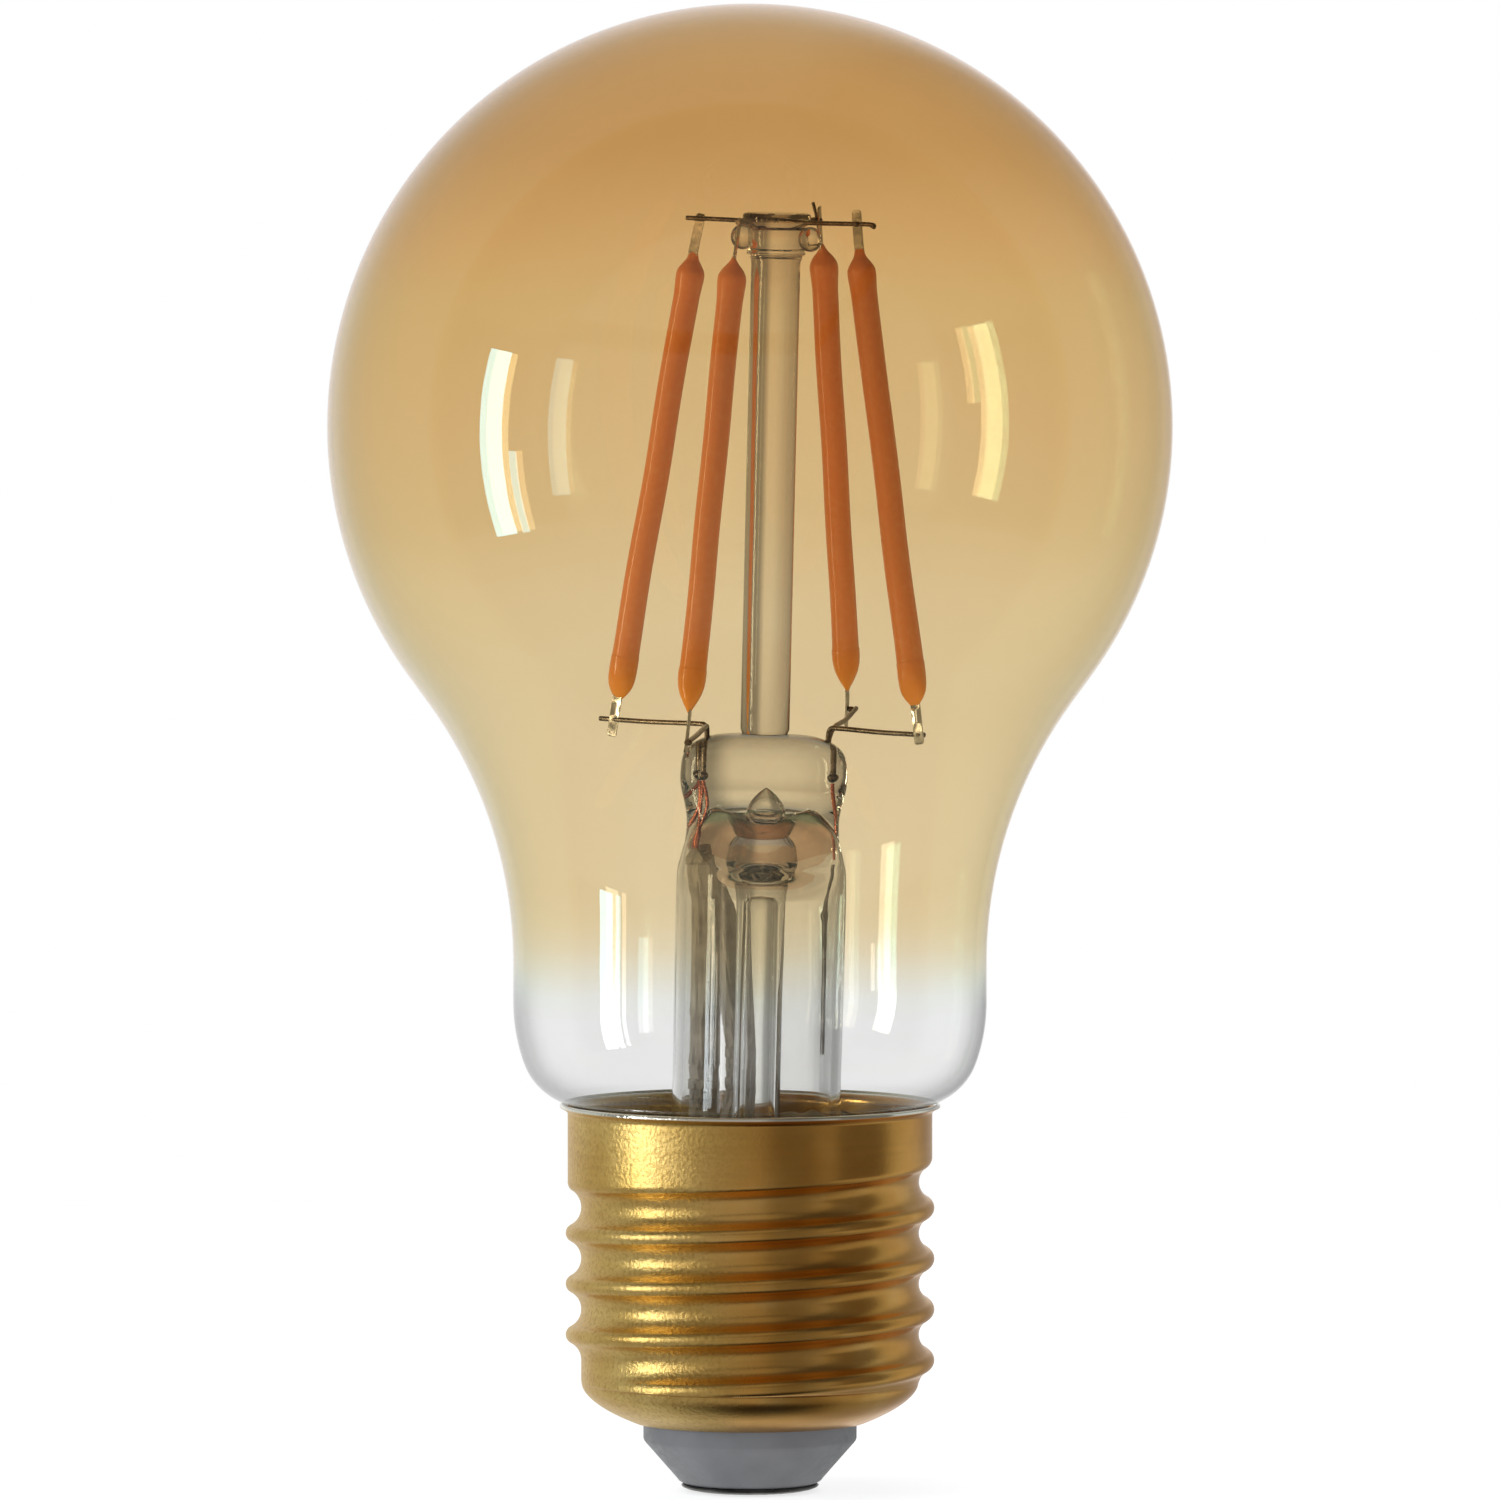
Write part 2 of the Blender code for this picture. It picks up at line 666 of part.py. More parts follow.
def make_bridge_wires():
    ends = {
        "bridge_wire_upper": ("back_left", "front_right"),
        "bridge_wire_lower": ("front_left", "back_right"),
    }
    for name, angle, z in bridge_lines():
        first, last = ends[name]
        reach = Vector((cos(angle), sin(angle), 0.0)) * (BUTTON_RADIUS + 0.9 * MM)
        middle = Vector((0.0, 0.0, z))
        corners = [
            beside_tab(first, BRIDGE_UPPER_Z - 0.3 * MM, 1, 0.7 * MM, BRIDGE_RADIUS),
            middle - reach,
            middle + reach,
            beside_tab(last, BRIDGE_UPPER_Z - 0.3 * MM, 1, 0.7 * MM, BRIDGE_RADIUS),
        ]
        wire(name, rounded(corners, 0.6 * MM), BRIDGE_RADIUS, nickel, stem_axis)


def lead_places():
    front = Vector((LEFT_LEAD.x, -LEFT_LEAD.y, 0.0))
    return {"back_left_lead": LEFT_LEAD, "front_left_lead": front, "right_jumper": RIGHT_LEAD}


def upright(place, z):
    return Vector((place.x, place.y, z))


def make_arm(name, place, filament, side):
    """A lead out of the press, bent over to run past a filament's tab."""
    corners = [
        upright(place, KNOT_Z + GAP),
        upright(place, ARM_Z),
        beside_tab(filament, ARM_Z, side, 0.9 * MM, LEAD_RADIUS),
    ]
    wire(name, rounded(corners, 0.8 * MM), LEAD_RADIUS, nickel, stem_axis)


def make_leads():
    places = lead_places()
    make_arm("back_left_lead_arm", places["back_left_lead"], "back_left", -1)
    make_arm("front_left_lead_arm", places["front_left_lead"], "front_left", 1)
    make_arm("right_jumper_front_arm", places["right_jumper"], "front_right", 1)
    beside_post = places["right_jumper"] + Vector((0.0, 2 * LEAD_RADIUS + GAP, ARM_Z))
    tip = beside_tab("back_right", ARM_Z, -1, 0.9 * MM, LEAD_RADIUS)
    wire("right_jumper_back_arm", [beside_post, tip], LEAD_RADIUS, nickel, stem_axis)
    for name, place in places.items():
        seal = [upright(place, KNOT_Z), upright(place, SEAL_END_Z)]
        wire(name + "_seal", seal, SEAL_RADIUS, copper, stem_axis)


def sleeve_routes():
    """The two insulated tails, from just under the press to just above the board."""
    top = SEAL_END_Z - 1.6 * MM
    steep = ((-3.75, -0.9, top / MM), (-3.7, -1.0, 28.0), (-3.0, -2.4, 14.5), (-3.0, -2.4, 12.8))
    slanted = ((-3.2, 2.0, top / MM), (-1.0, 3.1, 30.0), (-2.9, 0.9, 15.0), (-2.9, 0.7, 12.8))
    return {"front_left_lead": steep, "back_left_lead": slanted}


def make_tails():
    places = lead_places()
    for name, corners in sleeve_routes().items():
        corners = [Vector(corner) * MM for corner in corners]
        sleeve = wire(
            name + "_sleeve", rounded(corners, 3 * MM), SLEEVE_RADIUS, fibreglass, stem_axis, capped=False
        )
        thicken(sleeve, SLEEVE_WALL)
        start = upright(places[name], SEAL_END_Z - GAP)
        end = upright(corners[-1], ON_BOARD_Z)
        route = [start] + rounded(corners, 3 * MM) + [end]
        wire(name + "_tail", route, TAIL_WIRE_RADIUS, tinned_copper, stem_axis)
    spare = upright(places["right_jumper"], SEAL_END_Z - GAP)
    end = Vector((4.6, -0.6, 31.3)) * MM
    wire("right_jumper_tail", [spare, end], SEAL_RADIUS, tinned_copper, stem_axis)


# Driver electronics


def make_driver_board():
    bm = bmesh.new()
    bmesh.ops.create_cone(
        bm, cap_ends=True, segments=32, radius1=BOARD_RADIUS, radius2=BOARD_RADIUS, depth=BOARD_THICKNESS
    )
    board = add_object("driver_board", mesh_from(bm, "driver_board"), board_green)
    board.location.z = BOARD_Z + BOARD_THICKNESS / 2


def on_board(name, size, x, y, material, bevel=0.15 * MM):
    """A packaged part that stands on the board."""
    width, depth, height = (length * MM for length in size)
    return box(name, (width, depth, height), (x * MM, y * MM, ON_BOARD_Z + height / 2), material, bevel)


def make_electrolytic_capacitor():
    radius, height, groove = 3.15 * MM, 8.6 * MM, 0.35 * MM
    outline = [
        (0.0, height),
        (radius - groove, height),
        (radius, height - groove),
        (radius, 1.9 * MM),
        (radius - groove, 1.5 * MM),
        (radius, 1.1 * MM),
        (radius, 0.0),
        (0.0, 0.0),
    ]
    capacitor = turned("electrolytic_capacitor", outline, 20, dark_plastic, closed=False)
    capacitor.location = (-5.3 * MM, 4.4 * MM, ON_BOARD_Z)


def make_choke_inductor():
    flange, winding, height, lip = 3.0 * MM, 2.5 * MM, 6.5 * MM, 0.9 * MM
    outline = [
        (0.0, height),
        (flange, height),
        (flange, height - lip),
        (winding, height - lip),
        (winding, lip),
        (flange, lip),
        (flange, 0.0),
        (0.0, 0.0),
    ]
    choke = turned("choke_inductor", outline, 20, ferrite, closed=False)
    choke.location = (5.3 * MM, 4.4 * MM, ON_BOARD_Z)


def make_fuse_resistor():
    """An axial part under the board, body and two straight wires turned as one."""
    body, lead, half, reach = 0.9 * MM, 0.25 * MM, 2.6 * MM, 4.0 * MM
    outline = [(0.0, reach), (lead, reach), (lead, half), (body, half - 0.3 * MM)]
    outline += [(radius, -z) for radius, z in reversed(outline)]
    resistor = turned("fuse_resistor", outline, 12, resistor_blue, closed=False)
    resistor.rotation_euler = (0.0, pi / 2, 0.0)
    resistor.location = (0.5 * MM, 4.0 * MM, BOARD_Z - GAP - body)


def make_driver():
    make_driver_board()
    make_electrolytic_capacitor()
    make_choke_inductor()
    make_fuse_resistor()
    on_board("driver_chip", (3.9, 4.9, 1.5), 0.0, 0.4, dark_plastic)
    on_board("bridge_rectifier", (3.9, 4.7, 1.6), -6.0, -2.1, dark_plastic)
    on_board("wireless_module", (11.0, 0.8, 8.0), 0.0, -6.2, board_green, bevel=0.0)
    shield = on_board("wireless_shield", (7.0, 1.5, 5.6), 0.0, -4.75, tin)
    shield.location.z += 1.2 * MM
    antenna = [Vector(point) * MM for point in ((4.5, -6.2, 18.9), (4.5, -6.2, 20.2), (3.0, -3.6, 26.5))]
    wire("antenna_wire", rounded(antenna, 0.8 * MM), TAIL_WIRE_RADIUS, copper)
    live = [Vector(point) * MM for point in ((0.0, 0.0, 6.95), (0.0, 0.0, 7.9), (-3.8, 4.0, 7.9))]
    wire("live_wire", rounded(live, 0.6 * MM), TAIL_WIRE_RADIUS, tinned_copper)
    neutral = [Vector(point) * MM for point in ((-8.6, -2.0, 8.6), (-8.8, -2.0, 7.6), (-10.6, -2.4, 7.2))]
    wire("neutral_wire", rounded(neutral, 0.4 * MM), TAIL_WIRE_RADIUS, tinned_copper)


# The whole bulb


clear_scene()
bulb = new_collection("smart_light_bulb")
cutters = new_collection("cutters", hidden=True)

amber_glass = new_material("amber_glass", (0.78, 0.5, 0.2), 0.02, transmission=1.0)
clear_glass = new_material("clear_glass", (0.9, 0.93, 0.9), 0.03, transmission=1.0)
brass = new_material("brass", (0.72, 0.5, 0.22), 0.35, metallic=1.0)
vitrite = new_material("vitrite", (0.32, 0.32, 0.34), 0.5)
cement = new_material("cement", (0.75, 0.72, 0.66), 0.9)
nickel = new_material("nickel", (0.62, 0.6, 0.57), 0.25, metallic=1.0)
copper = new_material("copper", (0.62, 0.25, 0.15), 0.3, metallic=1.0)
tinned_copper = new_material("tinned_copper", (0.7, 0.68, 0.65), 0.35, metallic=1.0)
tin = new_material("tin", (0.75, 0.75, 0.76), 0.3, metallic=1.0)
fibreglass = new_material("fibreglass", (0.5, 0.5, 0.5), 0.85)
phosphor = new_material("phosphor", (0.55, 0.2, 0.04), 0.6)
ceramic = new_material("ceramic", (0.85, 0.85, 0.82), 0.6)
board_green = new_material("board_green", (0.05, 0.22, 0.1), 0.5)
dark_plastic = new_material("dark_plastic", (0.03, 0.03, 0.035), 0.45)
ferrite = new_material("ferrite", (0.1, 0.08, 0.07), 0.7)
resistor_blue = new_material("resistor_blue", (0.15, 0.32, 0.5), 0.5)
clear_plastic = new_material("clear_plastic", (0.85, 0.85, 0.83), 0.3)

stem_axis = new_empty("stem_axis", (STEM_OFFSET_X, 0.0, 0.0), (0.0, STEM_LEAN, 0.0))

make_glass_envelope()
make_stem()
make_exhaust_tube()
make_glass_post()
for place in FILAMENT_ANGLES:
    make_filament(place)
make_bridge_wires()
make_leads()
make_tails()
make_screw_shell()
make_base_insulator()
make_centre_contact()
make_base_cement()
make_insulating_liner()
make_driver()
bpy.context.view_layer.update()
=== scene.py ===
from math import ceil, cos, exp, pi, radians, sin, sqrt, tan, tau

import bpy
import numpy as np
from mathutils import Matrix, Vector


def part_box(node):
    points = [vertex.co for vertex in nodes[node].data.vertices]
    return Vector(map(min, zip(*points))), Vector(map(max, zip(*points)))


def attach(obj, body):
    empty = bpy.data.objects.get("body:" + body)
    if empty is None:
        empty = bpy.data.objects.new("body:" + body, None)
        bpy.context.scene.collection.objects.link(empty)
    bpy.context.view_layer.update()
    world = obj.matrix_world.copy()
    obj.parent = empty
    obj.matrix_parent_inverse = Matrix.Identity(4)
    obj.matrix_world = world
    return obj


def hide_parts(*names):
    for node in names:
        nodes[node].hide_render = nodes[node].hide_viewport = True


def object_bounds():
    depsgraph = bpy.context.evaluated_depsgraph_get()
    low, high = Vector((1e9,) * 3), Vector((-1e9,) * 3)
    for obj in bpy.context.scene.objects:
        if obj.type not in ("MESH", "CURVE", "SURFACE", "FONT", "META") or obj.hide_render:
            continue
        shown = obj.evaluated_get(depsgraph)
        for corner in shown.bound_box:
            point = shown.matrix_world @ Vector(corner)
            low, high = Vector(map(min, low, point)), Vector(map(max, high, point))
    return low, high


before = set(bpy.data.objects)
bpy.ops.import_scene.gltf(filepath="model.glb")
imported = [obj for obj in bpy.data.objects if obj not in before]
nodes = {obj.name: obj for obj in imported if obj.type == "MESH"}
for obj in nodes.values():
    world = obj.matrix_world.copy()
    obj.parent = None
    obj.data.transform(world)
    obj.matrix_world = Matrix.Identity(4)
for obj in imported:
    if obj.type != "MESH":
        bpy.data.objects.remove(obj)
cad_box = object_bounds()
scene = bpy.context.scene

MM = 0.001
BULB_TOP = cad_box[1].z

# Glass bulb: its heights come from the frame
BULB_RADIUS = 30.0 * MM
GLASS_WALL = 0.75 * MM
DOME_END = radians(126)
CONE_LENGTH = 2.4 * MM
WAIST_RADIUS = 31.6 * MM
NECK_LENGTH = 2.8 * MM
SHOULDER = ((12.9 * MM, radians(19.5)), (4.6 * MM, radians(50)))
TAIL_RADIUS = 11.2 * MM

# The amber coating: how much light one wall lets through at each height
COAT_END = 33.5 * MM
COAT_FULL = 38.0 * MM
COAT_WANDER = (-0.5 * MM, 0.5 * MM)
COAT_SHEEN = (0.45, 0.95, 1.0)  # it mirrors blue-green, which it doesn't let through
COAT_TINTS = (  # heights in millimetres
    (34.3, (0.963, 0.965, 0.965)),
    (36.0, (0.945, 0.945, 0.90)),
    (37.7, (0.941, 0.884, 0.765)),
    (39.5, (0.936, 0.847, 0.678)),
    (42.0, (0.925, 0.82, 0.63)),
    (58.0, (0.918, 0.81, 0.616)),
    (65.1, (0.903, 0.778, 0.564)),
    (68.6, (0.885, 0.745, 0.515)),
    (76.0, (0.88, 0.72, 0.483)),
    (84.8, (0.861, 0.697, 0.445)),
    (88.4, (0.857, 0.665, 0.416)),
    (96.0, (0.806, 0.603, 0.355)),
)

# Screw shell, size E27
PITCH = 3.629 * MM
CREST_RADIUS = 13.13 * MM
ROOT_RADIUS = 12.03 * MM
FIRST_CREST_Z = 9.3 * MM
CRESTS = 4
SHEET = 0.25 * MM
SKIRT_RADIUS = 12.975 * MM
LIP_RADIUS = 13.55 * MM
MOUTH_RADIUS = 8.0 * MM
BOWL_TOP_Z = 7.9 * MM
CREST_ARC = 0.65 * MM

# Glass stem
STEM_RADIUS = 6.05 * MM
STEM_WALL = 0.75 * MM
EXHAUST_RADIUS = 1.7 * MM
EXHAUST_BORE = 0.9 * MM
POST_RADIUS = 1.75 * MM

# Wires, sleeves and filaments
ARM_RADIUS = 0.184 * MM
BRIDGE_RADIUS = 0.17 * MM
STRAND_RADIUS = 0.12 * MM
SLEEVE_RADIUS = 1.1 * MM
PLACES = ("front_right", "back_right", "back_left", "front_left")
TWIST = {"front_left": radians(17), "back_right": radians(17)}  # turned about their own length
NEVER_ZERO = 0.02  # radius in millimetres of a lathe's points on its axis

# Camera and studio
TILT = radians(3.4)  # how far the camera looks down
SHOWN_WIDTH = 106.6 * MM
FLOOR_RADIUS = 0.24
SOFTBOX_DISTANCE = 1.0
AMBIENT = (0.45, 0.45, 0.46)
ROOM = (  # what gloss sees, from the camera's side at 0 to straight behind the bulb at 1
    (0.31, (0.34, 0.33, 0.31)),
    (0.322, (0.14, 0.13, 0.115)),
    (0.535, (0.14, 0.13, 0.115)),
    (0.547, (0.42, 0.45, 0.44)),
    (0.78, (0.62, 0.63, 0.60)),
    (0.86, (0.85, 0.85, 0.85)),
    (1.0, (0.95, 0.95, 0.95)),
)
SWEEP = (  # what is seen through the drawn glass
    (0.0, 0.9), (0.2, 0.65), (0.3, 0.4), (0.36, 0.1),
    (0.5, 0.1), (0.56, 0.24), (0.72, 0.5), (0.9, 0.8), (0.97, 1.0),
)
# How bright the surroundings are to the sides, above a slanting beam, and low down at the table
SIDE_SHADE = ((0.1, 1.0), (0.25, 0.5), (0.6, 0.5), (0.8, 1.0))
BEAM = ((0.36, 1.0), (0.38, 0.2), (0.455, 0.2), (0.47, 1.0))
TABLE = ((0.08, 0.0), (0.2, 0.36), (0.62, 0.36), (0.66, 0.0))
WHITE = (1.0, 1.0, 1.0)
WINDOWS = (  # name, azimuths and elevations seen from the bulb in degrees, radiance and colour
    ("window", (-77.5, -70.0), (-22.8, 17.1), 12, (0.9, 1.0, 1.05)),
    ("window_edge", (-68.0, -65.5), (-22.8, -4.6), 8, WHITE),
    ("far_window", (-55.6, -50.2), (-15.0, 17.5), 3, WHITE),
)

# Dark tone, light tone, roughness, metallic, and the grain's size and depth in millimetres
FINISHES = {
    "nickel": ((0.62, 0.58, 0.50), (0.88, 0.86, 0.80), 0.16, 1.0, 0.3, 0.004),
    "oxidised_nickel": ((0.16, 0.12, 0.09), (0.36, 0.29, 0.23), 0.3, 1.0, 0.15, 0.01),
    "copper": ((0.42, 0.10, 0.07), (0.66, 0.24, 0.14), 0.28, 1.0, 0.2, 0.01),
    "tinned_copper": ((0.10, 0.08, 0.07), (0.28, 0.25, 0.22), 0.35, 1.0, 0.2, 0.01),
    "fibreglass": ((0.30, 0.25, 0.18), (0.54, 0.46, 0.35), 0.8, 0.0, 0.25, 0.03),
    "vitrite": ((0.17, 0.172, 0.18), (0.205, 0.207, 0.217), 0.45, 0.0, 0.5, 0.01),
    "contact_metal": ((0.10, 0.095, 0.09), (0.26, 0.25, 0.24), 0.35, 1.0, 0.4, 0.01),
    "cement": ((0.20, 0.13, 0.05), (0.42, 0.30, 0.13), 0.6, 0.0, 0.4, 0.08),
    "circuit_board": ((0.02, 0.12, 0.05), (0.05, 0.24, 0.1), 0.4, 0.0, 0.6, 0.02),
    "moulded_black": ((0.015, 0.015, 0.017), (0.05, 0.05, 0.055), 0.5, 0.0, 0.2, 0.01),
    "ferrite": ((0.05, 0.04, 0.035), (0.14, 0.11, 0.09), 0.7, 0.0, 0.2, 0.02),
    "resistor_lacquer": ((0.10, 0.24, 0.38), (0.2, 0.4, 0.55), 0.35, 0.0, 0.3, 0.02),
    "tin": ((0.55, 0.55, 0.56), (0.78, 0.78, 0.79), 0.3, 1.0, 0.3, 0.01),
    "liner_plastic": ((0.7, 0.69, 0.64), (0.84, 0.83, 0.79), 0.35, 0.0, 0.5, 0.01),
    "substrate": ((0.72, 0.7, 0.62), (0.88, 0.87, 0.82), 0.5, 0.0, 0.3, 0.01),
}

# The nodes that stay as they are, by finish
KEPT = {
    "circuit_board": ("driver_board", "wireless_module"),
    "moulded_black": ("driver_chip", "bridge_rectifier", "electrolytic_capacitor"),
    "ferrite": ("choke_inductor",),
    "resistor_lacquer": ("fuse_resistor",),
    "tin": ("wireless_shield",),
    "copper": ("antenna_wire",),
    "tinned_copper": ("live_wire", "neutral_wire", "front_left_lead_tail", "back_left_lead_tail"),
    "liner_plastic": ("insulating_liner",),
    "substrate": tuple(f"filament_{place}_strip" for place in PLACES),
}


# Reading the frame


def end_centre(node, top):
    """The middle of a node's highest or lowest points."""
    points = np.array([vertex.co for vertex in nodes[node].data.vertices])
    low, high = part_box(node)
    band = 0.55 * MM
    chosen = points[points[:, 2] >= high.z - band] if top else points[points[:, 2] <= low.z + band]
    return Vector((chosen.min(0) + chosen.max(0)) / 2)


def stem_frame():
    """The leaning frame of the stem: Z along its axis, and its origin level with the row's."""
    foot = end_centre("exhaust_tube", top=False)
    head = end_centre("glass_post", top=True)
    ground = foot + (head - foot) * (-foot.z / (head.z - foot.z))
    turn = Vector((0, 0, 1)).rotation_difference(head - ground)
    return Matrix.Translation(ground) @ turn.to_matrix().to_4x4()


STEM = stem_frame()
TO_STEM = STEM.inverted()


def stem_top(node):
    """Height of a node's top along the stem's axis."""
    return (TO_STEM @ Vector((0.0, 0.0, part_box(node)[1].z))).z


def wire_ends(node):
    """Foot and head of a CAD wire, in the stem's frame."""
    return TO_STEM @ end_centre(node, top=False), TO_STEM @ end_centre(node, top=True)


def shift(x, y, z):
    """A vector given in millimetres."""
    return Vector((x, y, z)) * MM


def clamped(value):
    return min(1.0, max(0.0, value))


# Building meshes

OPEN, CLOSED = ("open", "open"), ("fan", "fan")


def add_object(name, data):
    made = bpy.data.objects.new(name, data)
    scene.collection.objects.link(made)
    return made


def new_piece(mesh, material, node):
    """A piece of the bulb, in place of a CAD node, riding the bulb's only body."""
    piece = add_object(mesh.name, mesh)
    piece.data.materials.append(material)
    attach(piece, "root")
    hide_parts(node)
    return piece


def skin_mesh(name, rings, ends=OPEN, matrix=None, sharp=40):
    """A mesh over rings of as many points each. An end is open, or closed by a fan to its middle."""
    rings = [np.asarray(ring, float) for ring in rings]
    count = len(rings[0])
    last = (len(rings) - 1) * count
    points = [tuple(point) for ring in rings for point in ring]
    faces = []
    for base in range(0, last, count):
        for i in range(count):
            j = (i + 1) % count
            faces.append((base + i, base + j, base + count + j, base + count + i))
    if ends[0] == "fan":
        faces += [((i + 1) % count, i, len(points)) for i in range(count)]
        points.append(tuple(rings[0].mean(0)))
    if ends[1] == "fan":
        faces += [(last + i, last + (i + 1) % count, len(points)) for i in range(count)]
        points.append(tuple(rings[-1].mean(0)))
    mesh = bpy.data.meshes.new(name)
    mesh.from_pydata(points, [], faces)
    if matrix:
        mesh.transform(matrix)
    mesh.shade_smooth()
    mesh.set_sharp_from_angle(angle=radians(sharp))
    return mesh


def circle(radius, z, count):
    angles = np.arange(count) * tau / count
    return np.stack([radius * np.cos(angles), radius * np.sin(angles), np.full(count, z)], 1)


def above(level, *points):
    """Outline points from radii and heights above a level, in millimetres."""
    return [(radius * MM, level + z * MM) for radius, z in points]


def lathe_mesh(name, outline, count=96, ends=CLOSED, matrix=None, sharp=40):
    """A turned mesh from an outline of radius and height that runs from its foot to its head."""
    return skin_mesh(name, [circle(radius, z, count) for radius, z in outline], ends, matrix, sharp)


def oblong(half_width, half_thickness, z, power, count):
    """A ring that goes from an ellipse at power 2 to a rounded oblong at higher powers."""
    ring = circle(1.0, z, count)
    flat = ring[:, :2]
    ring[:, :2] = np.sign(flat) * np.abs(flat) ** (2 / power) * (half_width, half_thickness)
    return ring


def smooth_keys(keys, steps):
    """Rows that pass smoothly through the keys, with as many steps between each two."""
    keys = np.array(keys, float)
    padded = np.concatenate([keys[:1], keys, keys[-1:]])
    rows = []
    for before, start, end, after in zip(padded, padded[1:], padded[2:], padded[3:]):
        for share in np.arange(steps) / steps:
            pull_start, pull_end = (end - before) / 2, (after - start) / 2
            ease = share**2 * (3 - 2 * share)
            pull = (1 - share) * pull_start - share * pull_end
            rows.append(start + (end - start) * ease + share * (1 - share) * pull)
    rows.append(keys[-1])
    return rows


def smooth_route(corners, steps):
    return [Vector(row) for row in smooth_keys([tuple(corner) for corner in corners], steps)]


def tube_mesh(name, corners, steps, radius, sides, shape=None):
    """A wire through corners in the stem's frame. shape gives its radius at each place."""
    route = smooth_route(corners, steps)
    side = Vector((0.3, 1.0, 0.2)).normalized()
    rings = []
    for i, point in enumerate(route):
        ahead = route[min(i + 1, len(route) - 1)] - route[max(i - 1, 0)]
        ahead.normalize()
        side = (side - ahead * side.dot(ahead)).normalized()
        other = ahead.cross(side)
        ring = []
        for k in range(sides):
            angle = tau * k / sides
            reach = shape(i / (len(route) - 1), angle) if shape else radius
            ring.append(point + (side * cos(angle) + other * sin(angle)) * reach)
        rings.append(ring)
    return skin_mesh(name, rings, CLOSED, STEM)


def blob_mesh(name, centre, radii, rings, count, inward=False):
    """An ellipsoid: a weld drop or a bead of glass, or inside out a bubble."""
    found = []
    for polar in np.arange(rings + 1) * pi / rings:
        ring = circle(sin(polar) + 1e-4, -cos(polar), count)
        found.append(np.array(centre) + ring * np.array(radii))
    return skin_mesh(name, found[::-1] if inward else found, CLOSED, STEM)


def joined(name, meshes):
    """One mesh from several, each left as it is."""
    points, faces, slots = [], [], []
    for mesh in meshes:
        base = len(points)
        points += [vertex.co[:] for vertex in mesh.vertices]
        faces += [[base + i for i in face.vertices] for face in mesh.polygons]
        slots += [face.material_index for face in mesh.polygons]
    made = bpy.data.meshes.new(name)
    made.from_pydata(points, [], faces)
    made.polygons.foreach_set("material_index", slots)
    made.shade_smooth()
    made.set_sharp_from_angle(angle=radians(40))
    return made


class Outline:
    """Radius and height along an outline that runs forwards from the crown with bends."""

    def __init__(self, radius, z, heading):
        self.points = [(radius, z)]
        self.heading = heading

    def move(self, distance):
        radius, z = self.points[-1]
        self.points.append((radius + distance * sin(self.heading), z - distance * cos(self.heading)))

    def bend(self, radius, turn, step):
        steps = max(4, ceil(radius * abs(turn) / step))
        chord = 2 * radius * sin(abs(turn) / steps / 2)
        for _ in range(steps):
            self.heading += turn / steps / 2
            self.move(chord)
            self.heading += turn / steps / 2


# Building materials


def connect(tree, node, inputs):
    """Give a node its inputs, linked or plain. A colour may lack its alpha."""
    for name, value in inputs.items():
        socket = node.inputs[name]
        if isinstance(value, bpy.types.NodeSocket):
            tree.links.new(value, socket)
        elif socket.type == "RGBA" and len(value) == 3:
            socket.default_value = (*value, 1.0)
        else:
            socket.default_value = value


def add_node(tree, kind, inputs=None, **settings):
    made = tree.nodes.new("ShaderNode" + kind)
    for name, value in settings.items():
        setattr(made, name, value)
    connect(tree, made, inputs or {})
    return made


def position(tree):
    return add_node(tree, "TexCoord").outputs["Object"]


def noise(tree, size, detail=3.0, stretch=(1, 1, 1)):
    """Noise whose lumps are about size metres across."""
    mapped = add_node(tree, "Mapping", {"Vector": position(tree), "Scale": stretch}).outputs[0]
    inputs = {"Vector": mapped, "Scale": 1 / size, "Detail": detail}
    return add_node(tree, "TexNoise", inputs).outputs["Fac"]


def ramp(tree, factor, stops):
    made = add_node(tree, "ValToRGB", {"Fac": factor})
    elements = made.color_ramp.elements
    while len(elements) < len(stops):
        elements.new(0.5)
    for element, (place, colour) in zip(elements, stops):
        element.position = place
        element.color = (*colour, 1.0)
    return made.outputs["Color"]


def ranged(tree, value, low, high, to_low=0.0, to_high=1.0, smooth=False):
    inputs = {"Value": value, "From Min": low, "From Max": high, "To Min": to_low, "To Max": to_high}
    kind = "SMOOTHSTEP" if smooth else "LINEAR"
    return add_node(tree, "MapRange", inputs, interpolation_type=kind).outputs["Result"]


def bump(tree, height, distance, strength=1.0):
    made = add_node(tree, "Bump", {"Height": height, "Distance": distance, "Strength": strength})
    return made.outputs["Normal"]


def mixed(tree, factor, first, second, blend="MIX"):
    inputs = {0: factor, 6: first, 7: second}
    return add_node(tree, "Mix", inputs, data_type="RGBA", blend_type=blend).outputs[2]


def calc(tree, operation, *values):
    return add_node(tree, "Math", dict(enumerate(values)), operation=operation).outputs[0]


def height_of(tree):
    return add_node(tree, "SeparateXYZ", {"Vector": position(tree)}).outputs["Z"]


def principled(name, **inputs):
    """A material, its node tree and its shader."""
    material = bpy.data.materials.new(name)
    material.use_nodes = True
    shader = material.node_tree.nodes["Principled BSDF"]
    for socket, value in inputs.items():
        shader.inputs[socket.replace("_", " ")].default_value = value
    return material, material.node_tree, shader


